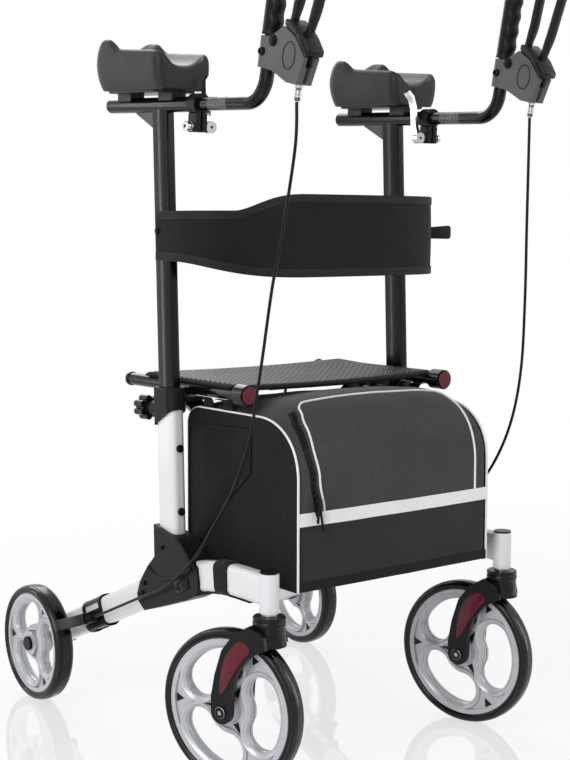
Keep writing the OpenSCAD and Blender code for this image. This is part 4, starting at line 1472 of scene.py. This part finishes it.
    def make_side(self, side: Side) -> None:
        """One side panel with its piping and pocket.

        Args:
            side: Which one.
        """
        x = side.sign * self.half
        runs = even(0, self.length, 100)
        rim = [self.surface(x, run, -1.5) - Vector((side.sign * 0.5, 0, 0)) for run in runs]
        bm = bmesh.new()
        face = bm.faces.new([bm.verts.new(p) for p in rim])
        for inset, push in self.panel_steps:
            bmesh.ops.inset_region(bm, faces=[face], thickness=inset, use_even_offset=False)
            bmesh.ops.translate(bm, vec=(side.sign * push, 0, 0), verts=face.verts)
        bmesh.ops.triangulate(bm, faces=[face])
        bmesh.ops.reverse_faces(bm, faces=[f for f in bm.faces if f.normal.x * side.sign < 0])
        self.sew(f"{side.value}_panel", BAG_DARK, bm)
        line = [self.surface(x, run, -0.6) for run in runs]
        self.sew(f"{side.value}_piping", PIPING, swept([line], 2.0))
        flat = [Vector((x + side.sign * self.pocket_from, y, z)) for y, z in self.pocket]
        self.sew(f"{side.value}_pocket", BAG_DARK, prism(flat, (side.sign * self.pocket_wall, 0, 0), 1.2))
        edge = [Vector((x + side.sign * self.binding_out, y, z)) for y, z in self.pocket]
        self.sew(f"{side.value}_binding", WEBBING, swept([edge], 2.1, closed=True))

    def make_lid(self) -> None:
        """Piping round the lid, over the front and the curved edge."""
        left, right = self.lid_x
        low, high = self.lid_runs
        near, far = self.lid_corners
        quarter = even(0, pi / 2, 8)[1:]
        side = [(left, run) for run in even(low, high - near, 20)]
        side += [(left + near * (1 - cos(a)), high - near * (1 - sin(a))) for a in quarter]
        line = [(x - lerp(self.lid_lean, run), run) for x, run in side]
        line += [(x, high) for x in even(left + near, right - far, 24)[1:]]
        line += [(right - far * (1 - sin(a)), high - far * (1 - cos(a))) for a in quarter]
        line += [(right, run) for run in even(high - far, low, 20)[1:]]
        path = [self.surface(x, run, 1.0) for x, run in line]
        self.sew("lid_piping", PIPING, swept([path], 1.9))

    def make_tape(self) -> None:
        """Pale tape across the front and a dark strip above the base."""
        for name, low, high, proud, finish in (("tape", 104, 125, 0.9, TAPE), ("base_strip", 0.5, 16, 0.8, WEBBING)):
            section = ((low, -1), (low, proud), ((low + high) / 2, proud + 0.2), (high, proud), (high, -1))
            xs = even(1 - self.half, self.half - 1, 40)
            self.sew(name, finish, ribbon([[self.surface(x, run, out) for run, out in section] for x in xs]), 40)

    def zip_x(self, run: float) -> float:
        """Place of the zip beside the lid's edge."""
        return self.lid_x[0] - lerp(self.lid_lean, run) - self.zip_gap

    def make_zip(self) -> None:
        """A zip beside the lid, with two sliders and their pulls."""
        runs = even(*self.zip_runs, 40)
        tape = [[self.surface(self.zip_x(run) + dx, run, out) for dx, out in self.zip_tape] for run in runs]
        self.sew("zip_tape", WEBBING, ribbon(tape), 50)
        teeth = [self.surface(self.zip_x(run), run, 1.6) for run in runs]
        self.sew("zip_teeth", DARK_STEEL, swept(dashes(teeth, 3.2, 0.7), 2.0, sides=1), 50)
        shapes = []
        for run, lean in self.sliders:
            at = self.surface(self.zip_x(run), run, 3.0)
            shapes.append(prism([at + Vector((x, 0, z)) for x, z in self.slider], (0, -4.2, 0), 1.0))
            pull = [at + Vector((lean * t, -4.6 - 2 * t, -34 * t)) for t in (0.05, 0.3, 0.6, 1.0)]
            shapes.append(swept([pull], 2.2, sides=2))
        self.sew("zip_sliders", DARK_STEEL, joined(*shapes), 40)

    def make_straps(self) -> None:
        """Webbing from the bag's sides up to the seat tubes."""
        shapes = []
        wide, rise = self.strap_wall
        for y in self.strap_ys:
            fore, aft = y - self.strap_half, y + self.strap_half
            for s in (-1, 1):
                shapes.append(ribbon([
                    [Vector((s * a, fore, z)), Vector((s * a, aft, z)),
                     Vector((s * (a + wide), aft, z + rise)), Vector((s * (a + wide), fore, z + rise))]
                    for a, z in self.strap
                ]))
        self.sew("straps", WEBBING, joined(*shapes), 40)


@dataclass
class LegStrap(Sided):
    """Webbing of the bag, buckled round the front of a leg, with its loose tails below."""

    bend_y: float = -233.4
    bend_r: float = 500.0
    level: float = 324.0
    ends: Pair = (18.4, 53.4)
    tail_ends: Pair = (92.0, -34.0)
    section: Point = (4.0, 15.0, 10.0)
    tail: Outline = ((-9, 0), (9, 0), (9, 1.8), (-9, 1.8))
    tail_drop: float = 25.4

    def at(self, run: float, u: float, v: float) -> Vector:
        """A point beside the leg.

        Args:
            run: Distance along the leg from the start of its bend.
            u: Distance to the inner side.
            v: Distance above the leg's middle line.

        Returns:
            The point.
        """
        a = max(0.0, run) / self.bend_r
        y = self.bend_y + min(0.0, run) + self.bend_r * sin(a) + v * sin(a)
        return Vector((-FRAME_X + u, y, self.level - self.bend_r * (1 - cos(a)) + v * cos(a)))

    def ring(self, run: float, grow: float) -> list[Vector]:
        """The leg's outline, grown by a margin.

        Args:
            run: Distance along the leg.
            grow: Margin.

        Returns:
            Points of the outline.
        """
        w, d, corner = self.section
        r = corner + grow
        return [self.at(run, cu * w + r * cos(t), cv * d + r * sin(t))
                for first, cu, cv in ((0, 1, 1), (90, -1, 1), (180, -1, -1), (270, 1, -1))
                for t in even(radians(first), radians(first + 90), 4)]

    def build(self) -> None:
        """Makes the band and two tails."""
        first, last = self.ends
        outer = [self.ring(first + (last - first) * k / 6, 2.6 + 0.25 * sin(pi * k / 6)) for k in range(7)]
        shapes = [ribbon([self.ring(first, 0.4), *outer, self.ring(last, 0.4)], closed=True)]
        for start, end in zip((last - 4, first + 4), self.tail_ends):
            rows = [[self.at(run, u, -self.tail_drop - t) for u, t in self.tail] for run in even(start, end, 6)]
            shapes.append(ribbon(rows))
        self.piece("leg_strap", "frame", WEBBING, sharp=40).emit(joined(*shapes))


@dataclass
class Belt(FoldingCloth):
    """Back belt from mast to mast, a padded band with bound and stitched edges."""

    stem: str = "back_belt"
    body: str = "right_mast"
    anchor: Point = (-0.2686, 0.0, 0.87)
    keep: float = 0.4726
    half: float = 268.6
    reach: float = 140.0
    thick: float = 7.0
    middle: float = 869.0
    end_h: float = 80.0
    mid_h: float = 137.0
    taper: Outline = ((0.86, 1), (1, 0))
    low_growth: Outline = ((0, 0), (0.5, 1))
    top_growth: Outline = ((0.3, 0), (0.48, 1))
    start_y: float = -17.5
    fill: float = 0.4
    seam_in: float = 9.5
    seam_out: float = 0.7
    stitch: float = 4.5
    fold: Outline = (
        (7.4, 13), (7.5, 12), (7.5, 1), (6.2, -1.2), (0.8, -1.2), (-0.5, 1), (-0.5, 12), (-0.4, 13), (1.5, 13),
        (5.5, 13),
    )
    tab: Outline = ((270, 863), (322, 862), (326, 866), (326, 883), (322, 887), (270, 884))
    tab_y: float = -103.0
    pin: Outline = ((0, 0), (5.2, 0), (5.6, 1.2), (5.2, 3.6), (3.4, 4.6), (0, 4.6))

    def at(self, t: float, out: float) -> Pair:
        """Plan point of the band.

        Args:
            t: Share of the band's run, from the right mast to the left one.
            out: Distance outside the inner face.

        Returns:
            Place across and from front to back.
        """
        a = pi - pi * t
        c, s = cos(a), max(0.0, sin(a))
        return (
            (self.half + out) * copysign(sqrt(abs(c)), c),
            self.start_y - (self.reach + out) * sqrt(s),
        )

    def edges(self, t: float) -> Pair:
        """Lower and upper edge of the band.

        Args:
            t: Share of the band's run, from the right mast to the left one.

        Returns:
            Both heights.
        """
        more = (self.mid_h - self.end_h) / 2 * lerp(self.taper, t)
        low = self.middle - self.end_h / 2 - more * lerp(self.low_growth, t)
        top = self.middle + self.end_h / 2 + more * lerp(self.top_growth, t)
        return low, top

    def section(self, t: float) -> list[Vector]:
        """The band's outline across, with both faces a little crowned.

        Args:
            t: Share of the band's run, from the right mast to the left one.

        Returns:
            Points of the outline.
        """
        low, top = self.edges(t)
        loop = []
        for sign in (1, -1):
            for k in range(13):
                v = k / 12 if sign > 0 else 1 - k / 12
                crown = sin(pi * v)
                x, y = self.at(t, self.thick / 2 + sign * (self.thick / 2 - 1.0 + crown))
                loop.append(Vector((x, y, low + (top - low) * v)))
        return loop

    def build(self) -> None:
        """Makes the band, its bindings and stitches, its tab and its pin."""
        shares = [0.5 - 0.5 * cos(a) for a in even(0, pi, 120)]
        band = self.sew("band", BELT, ribbon([self.section(t) for t in shares]), 50, ("back_belt",))
        bindings, seams = [], []
        for upper, inward in ((0, 1), (1, -1)):
            tape, seam = [], []
            for t in shares:
                z = self.edges(t)[upper]
                tape.append([Vector((*self.at(t, out), z + inward * up)) for out, up in self.fold])
                seam.append(Vector((*self.at(t, self.thick + self.seam_out), z + inward * self.seam_in)))
            bindings.append(ribbon(tape))
            seams.extend(dashes(seam, self.stitch))
        self.sew("binding", BINDING, joined(*bindings), 50)
        self.sew("stitches", THREAD, swept(seams, 0.5, sides=1), 50)
        self.sew("tab", WEBBING, prism([(x, self.tab_y, z) for x, z in self.tab], (0, 5, 0), 1.4), 50)
        self.sew("pin", DARK_STEEL, plug(self.pin, -1, moved(-275.3, -24, 877), 24), 50)


@dataclass
class Grip(Sided):
    """Moulded rubber grip on a handle, with finger rests at the front."""

    start: float = 101.0
    length: float = 127.0
    radius: float = 16.0
    finger: float = 25.0
    rest: float = 2.2

    def build(self) -> None:
        """Turns the grip and presses the finger rests into its front."""
        r, top = self.radius, self.length
        profile = [(0.0, 0.0), (r, 0.0), (r + 0.6, 1.4), (r + 0.4, 4.0)]
        profile += [(r, h) for h in even(4, top - 12, 36)[1:]]
        profile += [(r + 0.4, top - 9), (r - 0.4, top - 4), (r - 4, top - 0.8), (0.0, top)]
        bm = lathe(profile, Matrix(), 48)
        for v in bm.verts:
            reach = hypot(v.co.x, v.co.y)
            if reach > r - 1:
                ahead = max(0.0, -v.co.y / reach)
                wave = cos(tau * (v.co.z - 20) / self.finger)
                lift = 1 + self.rest * (ahead ** 2 * (wave - 0.4) - 0.3 * abs(v.co.x / reach)) / reach
                v.co.x *= lift
                v.co.y *= lift
        bmesh.ops.transform(bm, matrix=RISER @ moved(0, 0, self.start), verts=bm.verts)
        self.piece("grip_rubber", "handle", GRIP, "grip").emit(bm)


@dataclass
class BrakeLever(Sided):
    """Loop lever on its pivot in the housing: a loop with flat sides, a blade and a foot.

    Each run is a straight length, a turn in degrees and the turn's radius.
    """

    start: Pair = (-45.0, 108.0)
    slope: float = 13.0
    runs: tuple[Point, ...] = ((45, -9, 80), (51, 186, 24), (57, 5, 120), (52, 0, 0))
    blade: Outline = (
        (-18, 88), (-18, 100), (-40, 116), (-53, 112), (-66, 100), (-82, 92),
        (-96, 96), (-100, 82), (-92, 75), (-80, 72), (-58, 82), (-30, 87),
    )
    foot: Outline = (
        (-46, 118.5), (-73, 106), (-100.5, 77.5), (-107, 80), (-108, 88), (-92, 106), (-76, 119), (-58, 128),
        (-46, 128),
    )
    blade_half: float = 6.0
    foot_half: float = 15.5
    depth: float = 5.7
    widths: Outline = ((0, 5.8), (0.07, 5.8), (0.14, 8.3), (0.86, 8.3), (0.95, 5.8), (1, 5.8))
    squareness: float = 0.6

    def line(self) -> list[tuple[Vector, Vector]]:
        """Points along the loop, front to back and height, each with its heading.

        Returns:
            Points and headings.
        """
        at = Vector(self.start)
        lean = self.slope
        knots = []
        for run, turn, radius in self.runs:
            arcs = max(1, round(abs(turn) / 6))
            chord = radius * radians(abs(turn)) / arcs
            steps = [(run / 10, 0.0)] * 10 + [(chord, turn / arcs)] * (arcs if turn else 0)
            for length, bend in steps:
                lean += bend / 2
                heading = Vector((-sin(radians(lean)), cos(radians(lean))))
                knots.append((at.copy(), heading))
                at += heading * length
                lean += bend / 2
        knots.append((at, knots[-1][1]))
        return knots

    def squared(self, wave: float) -> float:
        """A sine or cosine pushed out towards a square's side."""
        return copysign(abs(wave) ** self.squareness, wave)

    @staticmethod
    def slab(outline: Outline, half: float, round_by: float) -> BMesh:
        """A flat part of the lever, as thick to both sides."""
        flat = [RISER @ Vector((-half, y, z)) for y, z in outline]
        return prism(flat, RISER.to_3x3() @ Vector((2 * half, 0, 0)), round_by)

    def build(self) -> None:
        """Makes the lever in one piece."""
        knots = self.line()
        loops = []
        for k, (at, heading) in enumerate(knots):
            half = lerp(self.widths, k / (len(knots) - 1))
            loop = []
            for turn in range(16):
                a = tau * (turn + 0.5) / 16
                x, n = half * self.squared(cos(a)), self.depth * self.squared(sin(a))
                loop.append(RISER @ Vector((x, at.x - n * heading.y, at.y + n * heading.x)))
            loops.append(loop)
        blade = self.slab(self.blade, self.blade_half, 1.4)
        foot = self.slab(self.foot, self.foot_half, 2.0)
        piece = self.piece("brake_lever_loop", "brake_lever", BLACK, "brake_lever", 45)
        piece.emit(joined(ribbon(loops), blade, foot))


@dataclass
class Housing(Sided):
    """Bolts, oval rib, cable slot and ferrule on a lever housing."""

    half: float = 15.0
    pivot: Pair = (-24.0, 94.0)
    pivot_r: float = 7.2
    clamp_bolt: Pair = (-1.0, 76.0)
    oval: tuple[float, float, float, float] = (-64.0, 76.0, 14.0, 20.0)
    ferrule_y: float = -78.0
    washer: Outline = ((0, -0.5), (8.8, -0.5), (9.2, 0.7), (8.4, 1.4), (0, 1.4))
    head: Outline = ((0, 17.2), (2.6, 17.2), (3.0, 20.2), (5.2, 20.2), (6.2, 19.0), (6.4, 15.0), (0, 15.0))
    slot: tuple[Point, ...] = (
        (-3, -89.2, 40), (-3, -94.9, 61), (0, -95.5, 64), (3, -94.9, 61), (3, -89.2, 40), (0, -88.6, 37.8)
    )
    ferrule: Outline = (
        (0, 12), (3.4, 12), (3.9, 13), (3.9, 17), (5.2, 17.6), (5.2, 21), (4.5, 21.6), (4.8, 22.6), (4.5, 23.6),
        (4.8, 24.6), (4.5, 25.6), (4.8, 26.6), (4.5, 27.6), (4.5, 31), (5.9, 31.6), (6.1, 37.5), (0, 37.5),
    )

    def emit(self, name: str, finish: Finish, *shapes: BMesh) -> None:
        """Makes one piece that moves with the handle.

        Args:
            name: Its name after the housing's.
            finish: Its finish.
            shapes: Shapes that make it up.
        """
        bm = joined(*shapes)
        bmesh.ops.transform(bm, matrix=RISER, verts=bm.verts)
        self.piece(f"housing_{name}", "handle", finish, sharp=40).emit(bm)

    def build(self) -> None:
        """Makes every piece of the housing's trim."""
        bolts, ovals = [], []
        y, z = self.pivot
        cy, cz, ry, rz = self.oval
        for s in (-1, 1):
            ring = [(s * self.half, y + self.pivot_r * cos(a), z + self.pivot_r * sin(a))
                    for a in (radians(60 * k + 8) for k in range(6))]
            bolts.append(prism(ring, (s * 5.2, 0, 0), 0.7))
            bolts.append(plug([(r, self.half + h) for r, h in self.washer], s, moved(0, y, z), 32))
            bolts.append(plug(self.head, s, moved(0, *self.clamp_bolt), 24))
            ovals.append([Vector((s * (self.half + 0.1), cy + ry * cos(a), cz + rz * sin(a)))
                          for a in even(0, tau, 40)[:-1]])
        self.emit("bolts", DARK_STEEL, *bolts)
        self.emit("ovals", BLACK, swept(ovals, 0.95, closed=True))
        self.emit("slot", BLACK, prism(self.slot, (0, -0.9, -0.24), 0.2))
        self.emit("ferrule", STEEL, lathe(self.ferrule, moved(0, self.ferrule_y, 0), 32))


@dataclass
class Caster(Sided):
    """Crown rings, lenses and axle bolts of a front fork."""

    half: float = 33.0
    crown: Outline = (
        (10.2, 237.6), (10.2, 283.6), (24.0, 283.6), (25.8, 282.6), (26.2, 280.5), (25.6, 278.8), (24.8, 277.6),
        (25.8, 276.4), (26.4, 273.5), (26.0, 270.5), (25.0, 269.2), (24.8, 252), (25.6, 245), (27.6, 240.4),
        (27.2, 238.2), (24.0, 237.6), (10.2, 237.6),
    )
    lens: Outline = ((14, 236), (34, 246), (58, 220), (68, 190), (70, 158), (60, 166), (46, 190), (30, 214))
    head: Outline = (
        (0, 35.2), (3.2, 35.2), (3.7, 37.8), (6.2, 38.1), (8.8, 37.2), (10.1, 35.4), (10.3, 33), (0, 33)
    )

    def build(self) -> None:
        """Makes the fork's trim."""
        place = caster_place(self.side)
        lenses, bolts = [], []
        for s in (-1, 1):
            flat = [place @ Vector((s * (self.half - 0.3), p.x, p.y)) for p in looped(self.lens, 5)]
            lenses.append(prism(flat, place.to_3x3() @ Vector((s * 1.8, 0, 0)), 0.6))
            bolts.append(plug(self.head, s, place @ FRONT_AXLE, 32))
        for name, finish, node, shape in (
            ("fork_crown", BLACK, "", lathe(self.crown, place, 64)),
            ("fork_lenses", LENS, "fork_reflectors", joined(*lenses)),
            ("axle_bolts", BLACK, "", joined(*bolts)),
        ):
            self.piece(name, "caster", finish, node, 40, mirror=False).emit(shape)


@dataclass
class HingeTrim(Sided):
    """Ridge, rim, bracket and screws on the outer face of a hinge block."""

    face: float = -277.0
    ridge: Outline = (
        (6.9, 305.5), (-8.6, 296), (-30.6, 292.4), (-50.2, 294.3), (-80.1, 303.8), (-103.3, 314.2), (-121, 326)
    )
    rim: Outline = ((-14, 378), (-50, 371.5), (-83, 365), (-101, 351), (-113, 338.5), (-121, 326))
    ridge_r: float = 3.2
    plate: Outline = ((-74, 294), (-92, 302), (-112, 305), (-116, 292), (-86, 276), (-74, 280))
    screws: tuple[Point, ...] = (
        (-35.4, 345.6, 3.6), (20.7, 274.2, 4.2), (27.7, 254.1, 5.6), (-86.4, 286.9, 5.2), (-103.2, 295.1, 4.6)
    )
    screw: Outline = ((0, 2.6), (0.45, 2.6), (0.5, 4.2), (0.8, 4.2), (1, 3.2), (1, -1), (0, -1))

    def build(self) -> None:
        """Makes the trim."""
        lines = [spline([(self.face, y, z) for y, z in row], 6) for row in (self.ridge, self.rim)]
        plate = [(self.face + 1, y, z) for y, z in self.plate]
        heads = [plug([(a * r, h) for a, h in self.screw], -1, moved(self.face, y, z), 24)
                 for y, z, r in self.screws]
        for name, finish, shape in (
            ("hinge_ridges", CHARCOAL, swept(lines, self.ridge_r)),
            ("hinge_bracket", BLACK, prism(plate, (-3.4, 0, 0), 1.0)),
            ("hinge_screws", DARK_STEEL, joined(*heads)),
        ):
            self.piece(name, "frame", finish).emit(shape)


@dataclass
class ClampTrim(Sided):
    """Plated nut and washer on a reach clamp's bolt."""

    nut: Outline = (
        (2.7, -11.4), (2.7, -22), (3.2, -24.6), (6.6, -24.8), (7.6, -23.6), (7.6, -18), (6.1, -17.2), (6.1, -15.6),
        (7.6, -14.8), (7.6, -11.4), (2.7, -11.4),
    )
    washer: Outline = ((2.7, 10.8), (6.6, 10.8), (6.9, 11.6), (6.6, 13.4), (2.7, 13.4), (2.7, 10.8))

    def build(self) -> None:
        """Turns both."""
        place = ARM @ moved(0, -97, -36)
        shapes = [plug(profile, 1, place, 32) for profile in (self.nut, self.washer)]
        self.piece("clamp_nut", "mast", CHROME).emit(joined(*shapes))


def main() -> None:
    """Builds the scene piece by piece."""
    Studio().build()
    for side in Side:
        BrakeCable(side).build()
    Solids().build()
    for side in Side:
        Wheel(side, "front", caster_place(side) @ FRONT_AXLE, 254, 34).build()
        Wheel(side, "rear", REAR_AXLE, 214, 36).build()
        for kind in (ArmPad, Grip, BrakeLever, Housing, Caster, HingeTrim, ClampTrim, LegStrap):
            kind(side).build()
    Sling().build()
    Bag().build()
    Belt().build()


if __name__ == "__main__":
    logging.basicConfig(level=logging.INFO)
    main()
